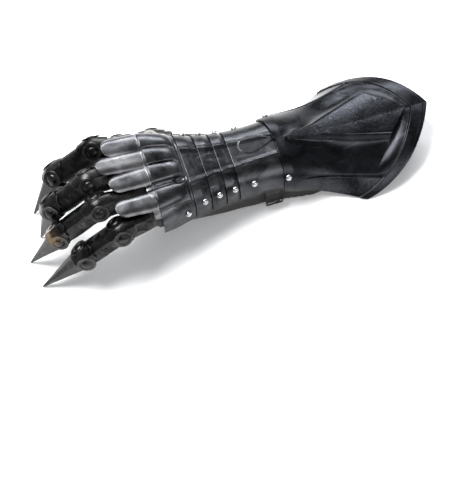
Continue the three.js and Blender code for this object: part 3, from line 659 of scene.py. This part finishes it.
def leather(name, rough=0.55, light=1.0):
    g = Graph(name)
    pores = g.node("ShaderNodeTexVoronoi", feature="DISTANCE_TO_EDGE", Scale=900.0)
    g.link(g.place(), pores.inputs["Vector"])
    grain = g.ramp(pores.outputs["Distance"], [(0.0, 0.0), (0.18, 1.0)])
    folds = g.noise(55, 5, 0.6, (0.6, 1.4, 1), 1.0)
    g.set("Base Color", g.ramp(folds, [
        (0.3, grey(0.005 * light)), (0.62, grey(0.011 * light)), (0.8, grey(0.024 * light))]))
    g.set("Roughness", g.mixed(folds, grey(rough), grey(rough + 0.25)))
    g.set("Specular IOR Level", 0.42)
    g.set("Sheen Weight", 0.12)
    g.bump((folds, 0.35, 0.0012), (grain, 0.22, 0.0003))
    return g.material


PLATE_STEEL = black_steel("black_plate_steel", (0.018, 0.0182, 0.020), (0.060, 0.061, 0.066), 0.25, 1.3)
# The metacarpal plate's steel is a lighter copy of the wrist plates' steel: a painted highlight along its
# flutes.
HAND_STEEL_PAINTED_HIGHLIGHT = black_steel("black_hand_steel_painted_highlight", (0.028, 0.0285, 0.031), (0.085, 0.086, 0.092), 0.24)
# The knuckle plate's steel has a base colour about three times the other plates': a painted highlight for
# the softbox mirrored in its flat tabs.
TAB_STEEL_PAINTED_HIGHLIGHT = black_steel("black_knuckle_steel_painted_highlight", (0.062, 0.062, 0.066), (0.150, 0.150, 0.156), 0.27, wear=2.4)
CUFF_STEEL = black_steel("black_cuff_steel", (0.012, 0.0125, 0.014), (0.026, 0.027, 0.031), 0.23)
FINGER_LOOK = (grey(0.012), (0.045, 0.044, 0.043), 0.25, 1.6)
FINGER_STEEL = black_steel("black_finger_steel", *FINGER_LOOK, wear=1.5)
CLAW_STEEL = black_steel("black_claw_steel", grey(0.026), grey(0.050), 0.36, 0.8)
BROWN_PATCH = (cap_top("ring"), 0.012, (0.12, 0.085, 0.048))
BROWNED_STEEL = black_steel("worn_finger_steel", *FINGER_LOOK, BROWN_PATCH, wear=1.5)
BRIGHT_STEEL = bright_steel()
GLOVE_LEATHER = leather("glove_leather")
STRAP_LEATHER = leather("strap_leather", 0.45, 1.5)


# Hand plates
def graded(start, stop, count):
    """Steps that are close together at both ends."""
    t = np.linspace(0, 1, count)
    return start + (stop - start) * (t - np.sin(2 * math.pi * t) / (2 * math.pi) * 0.75)


WRIST_PLATE = (-0.344 * HAND_LENGTH, 0.078 * HAND_LENGTH)


def spanned(share, behind):
    return (-share * HAND_LENGTH, behind[0] + PLATE_LAP + 1)


LAME_ONE = spanned(0.453, WRIST_PLATE)
LAME_TWO = spanned(0.578, LAME_ONE)
BACK_PLATE = spanned(0.719, LAME_TWO)
HAND_BACK = spanned(1.0, BACK_PLATE)
KNUCKLE_STRIP = (-1.055 * HAND_LENGTH, -0.922 * HAND_LENGTH)


def hand_plate(shells, stations, sides, lift):
    def grid(sink):
        return np.array([hand_point(x, sides, lift(x, sides) - sink) for x in stations])
    shells.sheet(grid(0.0), grid(PLATE_WALL))


def creases(x, side):
    """Two crisp ridges that border the middle band, and a shallow dish between them."""
    at = mix(0.20, 0.30, np.clip(-x / HAND_LENGTH, 0, 1))
    off = np.abs(side + RIDGE_ASIDE)
    ridge = np.clip(1 - np.abs(off - at) / RIDGE_HALF, 0, 1)
    return RIDGE_HEIGHT * ridge - DISH_DEPTH * (off < at)


def leaf(x, side):
    """A raised leaf on the wrist plate, round in front and pointed towards the cuff."""
    t = (x - LEAF_START) / LEAF_LENGTH
    if not 0 < t < 1:
        return 0.0 * side
    if t < LEAF_NOSE:
        share = math.sqrt(1 - (1 - t / LEAF_NOSE) ** 2)
    else:
        share = ((1 - t) / (1 - LEAF_NOSE)) ** 0.8
    off = np.abs(hand_point(x, side, 0.0)[..., 1] - LEAF_ACROSS)
    return LEAF_RISE * np.clip((LEAF_HALF_WIDTH * share - off) / LEAF_RISE + 0.5, 0, 1)


def joggled_plate(name, span, rows, columns=181, extra=None):
    shells = Shells(HAND_FRAME)

    def lift(x, side):
        high = joggle(x, *span) + creases(x, side)
        return high + extra(x, side) if extra else high

    hand_plate(shells, np.linspace(*span, rows), np.linspace(-1, 1, columns), lift)
    shells.build(f"{name}_form", [name], PLATE_STEEL, "black_steel")


def metacarpal_lift(x, side):
    return joggle(x, *HAND_BACK) + flute_lift(x, side)


def slits(x, side):
    """Narrow dark slits between the flutes, and the pocket by the little finger's flute."""
    section = hand_section(x)
    y = hand_point(x, side, 0.0)[..., 1]
    rear = FLUTE_LENGTH - HAND_LENGTH
    along = smooth((x + HAND_LENGTH + 1) / 6) * smooth((rear - 2 - x) / 7)
    cut = np.zeros_like(y)
    for a, b in zip(FLUTE_ACROSS[:-1], FLUTE_ACROSS[1:]):
        middle = (a + b) / 2 * section["width"]
        cut = np.maximum(cut, np.clip(1 - np.abs(y - middle) / SLIT_HALF, 0, 1) * along)
    pocket = (FLUTE_ACROSS[2] + FLUTE_ACROSS[3]) / 2 * section["width"]
    away = np.hypot(y - pocket, (x - rear + 6) / 1.4)
    return SLIT_DEPTH * cut + POCKET_DEPTH * smooth((POCKET_REACH - away) / POCKET_SOFT)


def metacarpal():
    shells = Shells(HAND_FRAME)

    def lift(x, side):
        rear = smooth((x + HAND_LENGTH - FLUTE_LENGTH) / 8)
        return metacarpal_lift(x, side) - slits(x, side) + creases(x, side) * rear

    hand_plate(shells, np.linspace(*HAND_BACK, 90), np.linspace(-1, 1, 301), lift)
    # The metacarpal plate takes the lighter steel, whose colour is a painted highlight.
    shells.build("metacarpal_plate_form", ["metacarpal_plate"], HAND_STEEL_PAINTED_HIGHLIGHT, "black_steel")


def tab_rows(tab, sink):
    """Rows across a tab of the knuckle plate, round at its end."""
    length = tab.segments[0]
    start = GAP + PLATE_WALL + 3 * math.tan(rad(abs(tab.yaw))) + TAB_RISE * math.tan(rad(tab.pitch))
    across = np.linspace(-1, 1, 31)
    fall = TAB_FALL * np.abs(across) ** TAB_FALL_POWER
    rows = []
    for x in start + (length - start) * np.sin(np.linspace(0, math.pi / 2, 40)):
        ends = np.clip((x - length + TAB_HALF_WIDTH) / TAB_HALF_WIDTH, 0, 1)
        widest = mix(TAB_RADIUS - 0.3, TAB_HALF_WIDTH, smooth((x - start) / (length - start)))
        half = max(widest * math.sqrt(1 - ends * ends), 0.6)
        y = across * half * (TAB_RADIUS - sink) / TAB_RADIUS
        z = TAB_RISE - sink - fall * half / TAB_HALF_WIDTH
        rows.append(np.stack([np.full_like(y, x), y, z], -1))
    return np.array(rows)


def knuckles():
    shells = Shells(HAND_FRAME)
    hand_plate(shells, np.linspace(*KNUCKLE_STRIP, 14), np.linspace(-0.667, 0.667, 161),
               lambda x, side: flute_lift(x, side) - LAYER_STEP / 2)
    for tab in TABS:
        frame = digit_frame(tab)
        shells.sheet(moved(frame, tab_rows(tab, 0.0)), moved(frame, tab_rows(tab, PLATE_WALL)))
    # The knuckle plate takes the lighter steel, whose colour is a painted highlight.
    shells.build("knuckle_plate_form", ["knuckle_plate"], TAB_STEEL_PAINTED_HIGHLIGHT, "black_steel")


# Cuff
def kite_row(x):
    return (x - CUFF_SEAT) / (CUFF_LENGTH - CUFF_SEAT)


def kite_reach(u, near=False):
    x = mix(CUFF_SEAT, CUFF_LENGTH, u)
    wide = KITE_WIDE + KITE_NEAR_SHIFT if near else KITE_WIDE
    rise = np.clip((x - KITE_START) / (wide - KITE_START), 0, 1)
    fall = np.clip((KITE_END - x) / (KITE_END - wide), 0, 1)
    half = (KITE_NEAR_WIDTH if near else KITE_HALF_WIDTH) * np.minimum(rise, fall)
    return np.maximum(half / mix(KNUCKLE_HALF_WIDTH * 0.8, CUFF_CORNER[1], u) * 0.8, 0.02)


def cuff_across(column, reach):
    """Share of the cuff's half width at a column: the kite to 1, the flute to 2, the panel to 3."""
    flute = mix(reach + KITE_GUTTER, CUFF_SIDE_PANEL, column - 1)
    panel = mix(CUFF_SIDE_PANEL, 1, column - 2)
    return np.where(column <= 1, column * reach, np.where(column <= 2, flute, panel))


def cuff():
    start, wide, end = kite_row(KITE_START), kite_row(KITE_WIDE), kite_row(KITE_END)
    band = 1 - CUFF_BORDER / (CUFF_LENGTH - CUFF_SEAT)
    rows = np.unique(np.concatenate([
        np.linspace(0, start, 3), np.linspace(start, wide, 90), np.linspace(wide, end, 33), [end + 0.008],
        [band - 0.004, band + 0.004, band + 0.012], np.linspace(end + 0.03, 0.97, 24),
        [0.975, 0.98, 0.985, 0.99, 1]]))
    half = np.concatenate([
        np.linspace(0, 0.84, 14), [0.86, 0.88, 0.90, 0.92, 0.94, 0.97, 1.0, 1.001],
        np.linspace(1.02, 1.98, 44), [2.0], np.linspace(2.02, 2.1, 5), np.linspace(2.14, 3, 21)])
    columns = np.concatenate([-half[:0:-1], half])
    side_sign, column = np.sign(columns), np.abs(columns)

    def line(u, sink):
        reach = np.where(side_sign < 0, float(kite_reach(u, True)), float(kite_reach(u)))
        raised = KITE_RISE + KITE_STEP if start < u <= end + 1e-6 else 0.0
        line_here = KITE_LINE_DEPTH * np.clip(1 - np.abs(column - KITE_LINE_AT) / KITE_LINE_HALF, 0, 1)
        dip = np.sin(math.pi * np.clip(column - 1, 0, 1) ** FLUTE_SKEW)
        fade = math.sin(math.pi * min(u * 1.02, 1)) * smooth((band - u) / 0.14 + 0.15)
        flute = -(CUFF_FLUTE_DEPTH + FLUTE_EXTRA) * dip * fade
        relief = np.where(column <= 1, raised - line_here * (start < u < end), flute)
        crease = PANEL_CREASE * np.clip(1 - np.abs(column - 2) / PANEL_CREASE_HALF, 0, 1)
        panel = PANEL_STEP * smooth((column - 2) / 0.05) - crease * smooth((u - 0.08) / 0.1)
        border = BORDER_STEP * smooth((u - band) / BORDER_RAMP + 0.5)
        hem = HEM_DROP * smooth((u - HEM_AT) / HEM_RAMP)
        lift = relief + (border - hem) + panel * (u < band) - sink
        return cuff_point(u, side_sign * cuff_across(column, reach), lift)

    def lap(t, sink):
        across = side_sign * cuff_across(column, 0.02)
        notch = FRONT_NOTCH * np.clip(1 - np.abs(across) / FRONT_NOTCH_HALF, 0, 1)
        far = FRONT_FAR_SWEEP * smooth((across - 0.15) / 0.6)
        near = FRONT_NEAR_SWEEP * smooth((-across - 0.5) / 0.4)
        front = 2.5 - CUFF_LAP - far - near + notch
        x = mix(front, CUFF_SEAT - 1, t)
        stations = [hand_point(one, across[i:i + 1], CUFF_LIFT - sink)[0] for i, one in enumerate(x)]
        return np.array(stations)

    laps = np.linspace(0, 1, 8)

    def grid(sink):
        return np.array([lap(t, sink) for t in laps] + [line(u, sink) for u in rows])

    shells = Shells(HAND_FRAME)
    inside = (column < 0.82) * ((rows > start + 0.2) & (rows < end - 0.015))[:, None]
    panel = (column > 2.12) * ((rows > 0.12) & (rows < band - 0.03))[:, None]
    border = (column < 2.9) * ((rows > band + 0.02) & (rows < 0.96))[:, None]
    etched = np.zeros((len(laps) + len(rows), len(column)))
    etched[len(laps):] = np.maximum(np.maximum(inside * 1.0, panel * 0.6), border * 0.35)
    shells.sheet(grid(0.0), grid(CUFF_WALL), etched)
    rim = cuff_point(1.0, np.linspace(-1, 1, 161), -CUFF_WALL / 2)
    bead(shells, rim, BEAD_RADIUS)
    shells.build("cuff_form", ["cuff"], CUFF_STEEL, "black_steel")


def bead(shells, path, radius, sides=12):
    """A round bead along a path."""
    ahead = np.gradient(path, axis=0)
    ahead /= np.linalg.norm(ahead, axis=1)[:, None]
    up = np.cross(ahead, np.array([0.3, 0.2, 1.0]))
    up /= np.linalg.norm(up, axis=1)[:, None]
    across = np.cross(ahead, up)
    angle = np.linspace(0, 2 * math.pi, sides, endpoint=False)
    rings = [p + radius * (np.cos(angle)[:, None] * a + np.sin(angle)[:, None] * b)
             for p, a, b in zip(path, up, across)]
    shells.rings(rings, 0.6)


# Fingers
def digit_shells(digit):
    return Shells(HAND_FRAME @ digit_frame(digit))


def finger_piece(shells, digit, name, material, bevel=0.25):
    node = f"{digit.name}_{name}"
    shells.build(f"{node}_form", [node], material, "black_steel", bevel)


def flush_rivets(shells, links, joint, x):
    """A low rivet head on each flank of a plate."""
    for side in (-1, 1):
        place, normal = flank_spot(links, joint, links["turns"][joint], x, side, PLATE_FLANK)
        shells.turned(FLUSH_HEAD, place, normal, 0.3)


def arch(shells, links, rows, round_, flank, columns=57):
    """An arched plate from rows of joint, turn, x, reach in degrees, peak and bulge."""
    def grid(sink):
        lines = []
        for joint, turn, x, reach, peak, bulge in rows:
            degrees = np.linspace(-reach, reach, columns)
            angle = np.radians(degrees)
            swell = bulge * np.cos(np.clip(angle * 0.9, -math.pi / 2, math.pi / 2)) ** 2
            radius = arch_radius(angle, round_ - sink, flank - sink) + swell
            lip = peak * np.clip(1 - np.abs(degrees) / LIP_DEGREES, 0, 1)
            y, z = radius * np.sin(angle), radius * np.cos(angle)
            lines.append(on_chain(links, joint, turn, x + lip, y, z))
        return np.array(lines)
    shells.sheet(grid(0.0), grid(FINGER_WALL))


def flank_spot(links, joint, turn, x, side, flank):
    """A place on a flank and the direction out of it."""
    normal = rad(FLANK_ANGLE) * side
    place, further = (on_chain(links, joint, turn, x, r * math.sin(normal), r * math.cos(normal))
                      for r in (flank, flank + 1))
    return place, further - place


RING_DISC = [(0, -0.9), (9.1, -0.9), (9.4, 0.05), (9.1, 0.35), (6.2, 0.4), (5.9, 0.1), (5.3, 0.1),
             (5.0, 0.55), (4.3, 1.15), (2.8, 1.6), (1.2, 1.78), (0, 1.8)]
# Lightness along the disc's profile: its rim and the foot of its dome are painted lighter, partly as edge
# wear and partly as a painted highlight ring.
RING_WEAR_AND_HIGHLIGHT = [0, 0, 0.5, 1, 0.6, 0.1, 0, 0.9, 0.5, 0.1, 0, 0]
FLUSH_HEAD = [(0, -0.5), (4.1, -0.5), (4.1, 0.02), (3.9, 0.35), (3.4, 0.5), (1.5, 0.55), (0, 0.55)]


def joint_cap(digit, k, back_peak, front_peak, name, material=None):
    """The cap over joint k: a back half, a bend and a front half, with peaked edges."""
    links = CHAINS[digit.name]
    before, after = links["turns"][k - 1], links["turns"][k]

    def reach(x):
        lobe = math.sqrt(max(LOBE_RADIUS**2 - x * x, 0.3))
        return FLANK_ANGLE + math.degrees(math.atan(lobe / CAP_FLANK))

    rows = []
    for x in np.linspace(-CAP_BACK, 0, 18):
        share = 1 if x == -CAP_BACK else 0.9 * max(0, 1 - (x + CAP_BACK) / 6)
        rows.append((k, before, x, reach(x), -back_peak * share, CAP_BULGE * (1 + x / CAP_BACK)))
    for t in np.linspace(0.1, 0.9, 7):
        rows.append((k, mix(before, after, t), 0.0, reach(0), 0.0, CAP_BULGE))
    for x in np.linspace(0, CAP_FRONT, 14):
        share = max(0, 1 - (CAP_FRONT - x) / 5)
        rows.append((k, after, x, reach(x), front_peak * share, CAP_BULGE * (1 - x / CAP_FRONT)))
    shells = digit_shells(digit)
    arch(shells, links, rows, CAP_ROUND, CAP_FLANK)
    for side in (-1, 1):
        place, normal = flank_spot(links, k, (before + after) / 2, 0, side, CAP_FLANK)
        # Each disc carries painted highlight rings as well as edge wear.
        shells.turned(RING_DISC, place, normal, RING_WEAR_AND_HIGHLIGHT)
    finger_piece(shells, digit, name, material or FINGER_STEEL)


def rounded_reach(x, low, high, narrow):
    """Reach in degrees of a plate whose corners are round at each end."""
    t = np.clip(min(x - low, high - x) / CORNER_LENGTH, 0, 1)
    return mix(narrow, PLATE_REACH, math.sqrt(1 - (1 - t) ** 2))


def mid_plate(digit):
    links, length = CHAINS[digit.name], digit.segments[1]
    low, high = 4.0, length - 5.0
    rows = [(1, links["turns"][1], x, rounded_reach(x, low, high, MID_CORNER), 0.0, 0.0)
            for x in graded(low, high, 44)]
    shells = digit_shells(digit)
    arch(shells, links, rows, PLATE_ROUND, PLATE_FLANK)
    flush_rivets(shells, links, 1, length / 2 - 1)
    finger_piece(shells, digit, "mid_plate", FINGER_STEEL)


def base_plate(digit):
    links, length = CHAINS[digit.name], digit.segments[0]
    start = (0.5 if digit.name == "thumb" else 0.34) * length
    end = length - 4
    rivet = start + CORNER_LENGTH
    rows = []
    for x in graded(start, end, 44):
        waist = math.sin(math.pi * np.clip((x - rivet) / (end - rivet), 0, 1)) ** 2
        reach = rounded_reach(x, start, end, BASE_CORNER) - BASE_WAIST * waist
        rows.append((0, 0.0, x, reach, 0.0, 0.0))
    shells = digit_shells(digit)
    arch(shells, links, rows, PLATE_ROUND, PLATE_FLANK)
    flush_rivets(shells, links, 0, rivet)
    finger_piece(shells, digit, "base_plate", FINGER_STEEL)


def claw(digit):
    links, length = CHAINS[digit.name], digit.segments[2]
    turn = links["turns"][2]
    around = np.linspace(0, 2 * math.pi, 64, endpoint=False)
    signed = np.where(around > math.pi, around - 2 * math.pi, around)

    def ring(x, sink):
        taper = mix(1, CLAW_TIP / PLATE_ROUND, (x - CLAW_START) / (length - CLAW_TIP - CLAW_START))
        radius = np.maximum(arch_radius(signed, PLATE_ROUND, PLATE_FLANK) * taper - sink, 0.15)
        return on_chain(links, 2, turn, x, radius * np.sin(around), radius * np.cos(around))

    outer = [ring(x, 0) for x in np.linspace(CLAW_START, length - CLAW_TIP, 40)]
    last = ring(length - CLAW_TIP, 0)
    tip = on_chain(links, 2, turn, length, 0, 0)
    outer.append(mix(tip, last, 0.6) - (tip - last.mean(0)) * 0.2)
    outer.append(mix(tip, last, 0.08))
    inner = [ring(x, CLAW_WALL) for x in np.linspace(CLAW_START, 0.62 * length, 12)]
    shells = digit_shells(digit)
    shells.rings(inner[::-1] + outer)
    finger_piece(shells, digit, "claw", CLAW_STEEL, 0.2)


# Rivets: the dome's radii and heights, then each place along, its reach to the side and its plate
DOME = [(0, -0.1), (3.3, -0.1), (3.28, 0.35), (3.05, 0.95), (2.6, 1.5), (1.95, 1.98), (1.1, 2.28), (0, 2.4)]
RIVET_PLACES = [
    (0.789, 0.80, HAND_BACK), (0.640, 0.68, BACK_PLATE), (0.515, 0.66, LAME_TWO),
    (0.385, 0.66, LAME_ONE), (0.225, 0.66, WRIST_PLATE), (-0.045, 0.66, None)]


def rivets():
    for i, (along, reach, plate) in enumerate(RIVET_PLACES, 1):
        x = -along * HAND_LENGTH
        for name, sign in (("near", -1), ("far", 1)):
            side = np.array([reach * sign, (reach + 0.02) * sign, (reach - 0.02) * sign])
            lift = CUFF_LIFT if plate is None else joggle(x, *plate)
            if plate is HAND_BACK:
                lift = metacarpal_lift(x, side[:1])[0]
            at, wider, narrower = hand_point(x, side, lift)
            ahead = hand_point(x - 1, side[:1], lift)[0] - hand_point(x + 1, side[:1], lift)[0]
            out = np.cross(ahead, wider - narrower)
            out /= np.linalg.norm(out)
            if out @ np.array([0, at[1], at[2]]) < 0:
                out = -out
            shells = Shells(HAND_FRAME)
            shells.turned(DOME, at + out * GAP, out)
            node = f"rivet_{name}_{i}"
            shells.build(f"{node}_form", [node], BRIGHT_STEEL, "bright_steel", 0, 60)


# Leather
def lift_off_ground(points, height):
    s, c = math.sin(rad(HAND_TILT)), math.cos(rad(HAND_TILT))
    floor = (height - WRIST_HEIGHT + points[..., 0] * s) / c
    points[..., 2] = np.maximum(points[..., 2], floor)
    return points


def glove_inset(x):
    strap_room = (STRAP_WALL + GAP) * smooth(1.5 - abs(x - STRAP_PLACE) / STRAP_WIDTH)
    return LAYER_STEP / 2 + PLATE_WALL + GAP + LEATHER_ROOM + strap_room


def glove_points(x, angle, lift):
    s = hand_section(x)
    inset = glove_inset(x) - lift
    c, n = np.cos(angle), np.sin(angle)
    upper = n >= 0
    power = np.where(upper, s["power"], 2 / SAG_ROUND)
    out = np.sign(c) * np.abs(c) ** power
    up = np.abs(n) ** power
    wide = s["width"] - inset
    y = np.where(upper, wide * out, (wide + (s["bulge"] + glove_inset(x)) * smooth(-2 * n - 0.6)) * out)
    z = np.where(upper, s["axis"] + (s["rise"] - inset) * up + s["lean"] * y / s["width"],
                 s["axis"] - (s["under"] + s["axis"] + lift) * up)
    return lift_off_ground(np.stack([np.full_like(y, x), y, z], -1), STRAP_WALL + GAP - lift)


def tube(links, digit, lift):
    first, second, _ = digit.segments
    t1, t2 = links["turns"][1], links["turns"][2]
    start = -14.0 if digit.name == "thumb" else -6.0
    stops = [(0, 0.0, start, 0.0, 0.0)]
    stops += [(0, 0.0, x, 0.0, 1.0) for x in np.linspace(0.3 * first, first - 10, 4)]
    stops += [(1, t1 * t, 0.0, 0.0, 0.5) for t in (0.25, 0.5, 0.75)]
    stops += [(1, t1, x, 0.0, 0.75) for x in np.linspace(10, second - 10, 4)]
    stops += [(2, mix(t1, t2, t), 0.0, 0.0, 0.4) for t in (0.3, 0.7)]
    stops += [(2, t2, 3.0, 0.8, 0.0), (2, t2, 0.7 * FINGERTIP_REACH, 3.7, 0.0),
              (2, t2, FINGERTIP_REACH + lift, 6.5, 0.0)]
    around = np.linspace(0, 2 * math.pi, 40, endpoint=False)
    below = smooth(-3 * np.cos(around)) * (digit.name != "thumb")
    rings = []
    for joint, turn, x, thinner, fold in stops:
        radius = TUBE_RADIUS - thinner + lift
        y = (radius + below * fold * FOLD_WIDTH) * np.sin(around)
        z = (radius + below * fold * FOLD_DEPTH) * np.cos(around)
        rings.append(on_chain(links, joint, turn, x, y, z))
    return rings


def closed_object(name, rings, matrix):
    shells = Shells(matrix)
    shells.rings(rings)
    return in_scene(name, shells.mesh(name))


def boolean(piece, other, operation):
    step = piece.modifiers.new("step", "BOOLEAN")
    step.operation = operation
    step.object = other
    step.solver = "MANIFOLD"
    apply_modifiers(piece)
    bpy.data.objects.remove(other)


def glove_body(lift):
    around = np.linspace(0, 2 * math.pi, 120, endpoint=False)
    mouth = GLOVE_MOUTH + (5 if lift < 0 else 0)
    end = -HAND_LENGTH - 4 + (LEATHER_WALL if lift < 0 else 0)
    stations = np.linspace(mouth, end, 60)
    body = closed_object("glove_body", [glove_points(x, around, lift) for x in stations], HAND_FRAME)
    for digit in DIGITS:
        rings = tube(CHAINS[digit.name], digit, lift)
        boolean(body, closed_object("glove_finger", rings, HAND_FRAME @ digit_frame(digit)), "UNION")
    return body


def glove():
    body = glove_body(0.0)
    remesh = body.modifiers.new("remesh", "REMESH")
    remesh.mode = "VOXEL"
    remesh.voxel_size = GLOVE_VOXEL
    soften = body.modifiers.new("soften", "SMOOTH")
    soften.iterations = 3
    apply_modifiers(body)
    places = np.zeros((len(body.data.vertices), 3))
    outward = np.zeros_like(places)
    body.data.vertices.foreach_get("co", places.ravel())
    body.data.vertex_normals.foreach_get("vector", outward.ravel())
    folds = [noise.fractal(Vector((x * 57, y * 38, z * 38)), 0.9, 2.1, 4) for x, y, z in places]
    places += outward * FOLD_HEIGHT * np.array(folds)[:, None]
    places[:, 2] = np.maximum(places[:, 2], 0.001 * (STRAP_WALL + 0.1))
    body.data.vertices.foreach_set("co", places.ravel())
    body.data.update()
    boolean(body, glove_body(-LEATHER_WALL), "DIFFERENCE")
    body.name = "glove_form"
    body.data.materials.clear()
    body.data.materials.append(GLOVE_LEATHER)
    body.data.shade_smooth()
    body.data.set_sharp_from_angle(angle=rad(50))
    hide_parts("glove", *(f"glove_{digit.name}" for digit in DIGITS))
    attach(body, "root")


def strap_points(x, angle, lift):
    outward = np.stack([np.zeros_like(angle), np.cos(angle), np.sin(angle)], -1)
    points = glove_points(x, angle, 0.0) + outward * (GAP + lift)
    return lift_off_ground(points, STRAP_WALL - lift)


def strap():
    angles = np.radians(np.linspace(20, -200, 160))
    half = STRAP_WIDTH / 2
    places = STRAP_PLACE + np.linspace(-half, half, 17)

    def grid(lift):
        return np.array([strap_points(x, angles, lift) for x in places])

    shells = Shells(HAND_FRAME)
    shells.sheet(grid(STRAP_WALL), grid(0.0))
    shells.build("wrist_strap_form", ["wrist_strap"], STRAP_LEATHER, "leather", 0.4)


def buckle():
    angles = np.radians(180 + 20.0 * np.arange(5))
    faces = strap_points(STRAP_PLACE, angles, STRAP_WALL)
    half = STRAP_WIDTH / 2
    edges = np.concatenate([
        strap_points(STRAP_PLACE + side * half, angles, STRAP_WALL) for side in (-1, 1)])
    along = faces[1] - faces[3]
    along[0] = 0
    along /= np.linalg.norm(along)
    out = np.array([0, -along[2], along[1]])
    proud = max((np.concatenate([faces, edges]) - faces[1]) @ out)
    width, height, bar, thick = STRAP_WIDTH + 5, 12.0, 2.0, 1.8
    place = faces[1] + along * (2.5 * bar - height / 2) + out * (proud + GAP + thick / 2)
    wide = np.cross(along, out)
    angle = np.linspace(0, 2 * math.pi, 96, endpoint=False)
    square = np.stack([np.cos(angle), np.sin(angle)], -1)
    square = np.sign(square) * np.abs(square) ** 0.25 * [(width - bar) / 2, (height - bar) / 2]
    path = place + square[:, :1] * wide + square[:, 1:] * along
    shells = Shells(HAND_FRAME)
    bead(shells, np.concatenate([path, path[:2]]), thick / 2)
    prong = place + np.linspace(-height / 2 + 1, height / 2 - 1, 12)[:, None] * along
    bead(shells, prong, thick / 2 * 0.9)
    shells.build("buckle_form", ["buckle"], FINGER_STEEL, "black_steel", 0)


joggled_plate("wrist_plate", WRIST_PLATE, 100, 221, leaf)
joggled_plate("wrist_lame_1", LAME_ONE, 40)
joggled_plate("wrist_lame_2", LAME_TWO, 40)
joggled_plate("back_plate", BACK_PLATE, 40)
metacarpal()
knuckles()
cuff()
for finger in DIGITS:
    base_plate(finger)
    joint_cap(finger, 1, 0, CAP_PEAK, "knuckle_cap")
    mid_plate(finger)
    joint_cap(finger, 2, CAP_PEAK, 0, "tip_cap", BROWNED_STEEL if finger.name == "ring" else FINGER_STEEL)
    claw(finger)
rivets()
glove()
strap()
buckle()


# Camera, at the photograph's angle: fitted in the solids' frame before their shift
def camera():
    phi, elevation, roll = rad(6.2), rad(66.6), rad(13.2)
    distance, focal = 1283.1, 1311.9
    target = np.array([-68.0, -92.2, 42.3]) + GROUP_SHIFT
    level = math.cos(elevation)
    look = np.array([math.sin(phi) * level, math.cos(phi) * level, -math.sin(elevation)])
    right = np.array([math.cos(phi), -math.sin(phi), 0.0])
    up = np.cross(right, look)
    across = right * math.cos(roll) - up * math.sin(roll)
    above = right * math.sin(roll) + up * math.cos(roll)
    data = bpy.data.cameras.new("camera")
    data.sensor_width = 36
    data.lens = 36 * focal / 500
    data.clip_start, data.clip_end = 0.01, 50
    made = in_scene("camera", data)
    place = Matrix.Identity(4)
    for row in range(3):
        place[row][0], place[row][1], place[row][2] = across[row], above[row], -look[row]
        place[row][3] = (target[row] - look[row] * distance) * 0.001
    made.matrix_world = place
    bpy.context.scene.camera = made


def floor():
    mesh = bpy.data.meshes.new("floor")
    corners = [(4 * x, 4 * y, -0.0003) for x, y in ((-1, -1), (1, -1), (1, 1), (-1, 1))]
    mesh.from_pydata(corners, [], [(0, 1, 2, 3)])
    made = in_scene("floor", mesh)
    g = Graph("pale_floor")
    cloud = g.noise(3, 3)
    g.set("Base Color", g.mixed(cloud, (0.93, 0.93, 0.93), (0.95, 0.95, 0.95)))
    g.set("Roughness", 0.9)
    g.set("Specular IOR Level", 0.1)
    mesh.materials.append(g.material)


def softbox(name, place, size, watts, colour=(1, 1, 1)):
    data = bpy.data.lights.new(name, "AREA")
    data.shape = "RECTANGLE"
    data.size, data.size_y = size
    data.energy = watts
    data.color = colour
    made = in_scene(name, data)
    made.location = place
    made.rotation_mode = "QUATERNION"
    made.rotation_quaternion = (Vector((0, 0, 0.03)) - Vector(place)).to_track_quat("-Z", "Y")


def lights():
    world = bpy.data.worlds.new("studio")
    world.use_nodes = True
    sky = world.node_tree.nodes["Background"].inputs
    sky["Color"].default_value = (0.95, 0.97, 1.0, 1)
    sky["Strength"].default_value = 0.35
    bpy.context.scene.world = world
    softbox("key", (-0.38, 0.5, 1.3), (0.95, 0.7), 44)
    softbox("back", (0.6, 1.2, 0.9), (1.2, 0.5), 24, (0.94, 0.97, 1.0))
    softbox("near", (0.4, -1.2, 0.8), (1.2, 0.5), 9)


camera()
floor()
lights()
bpy.context.scene.view_settings.view_transform = "Standard"
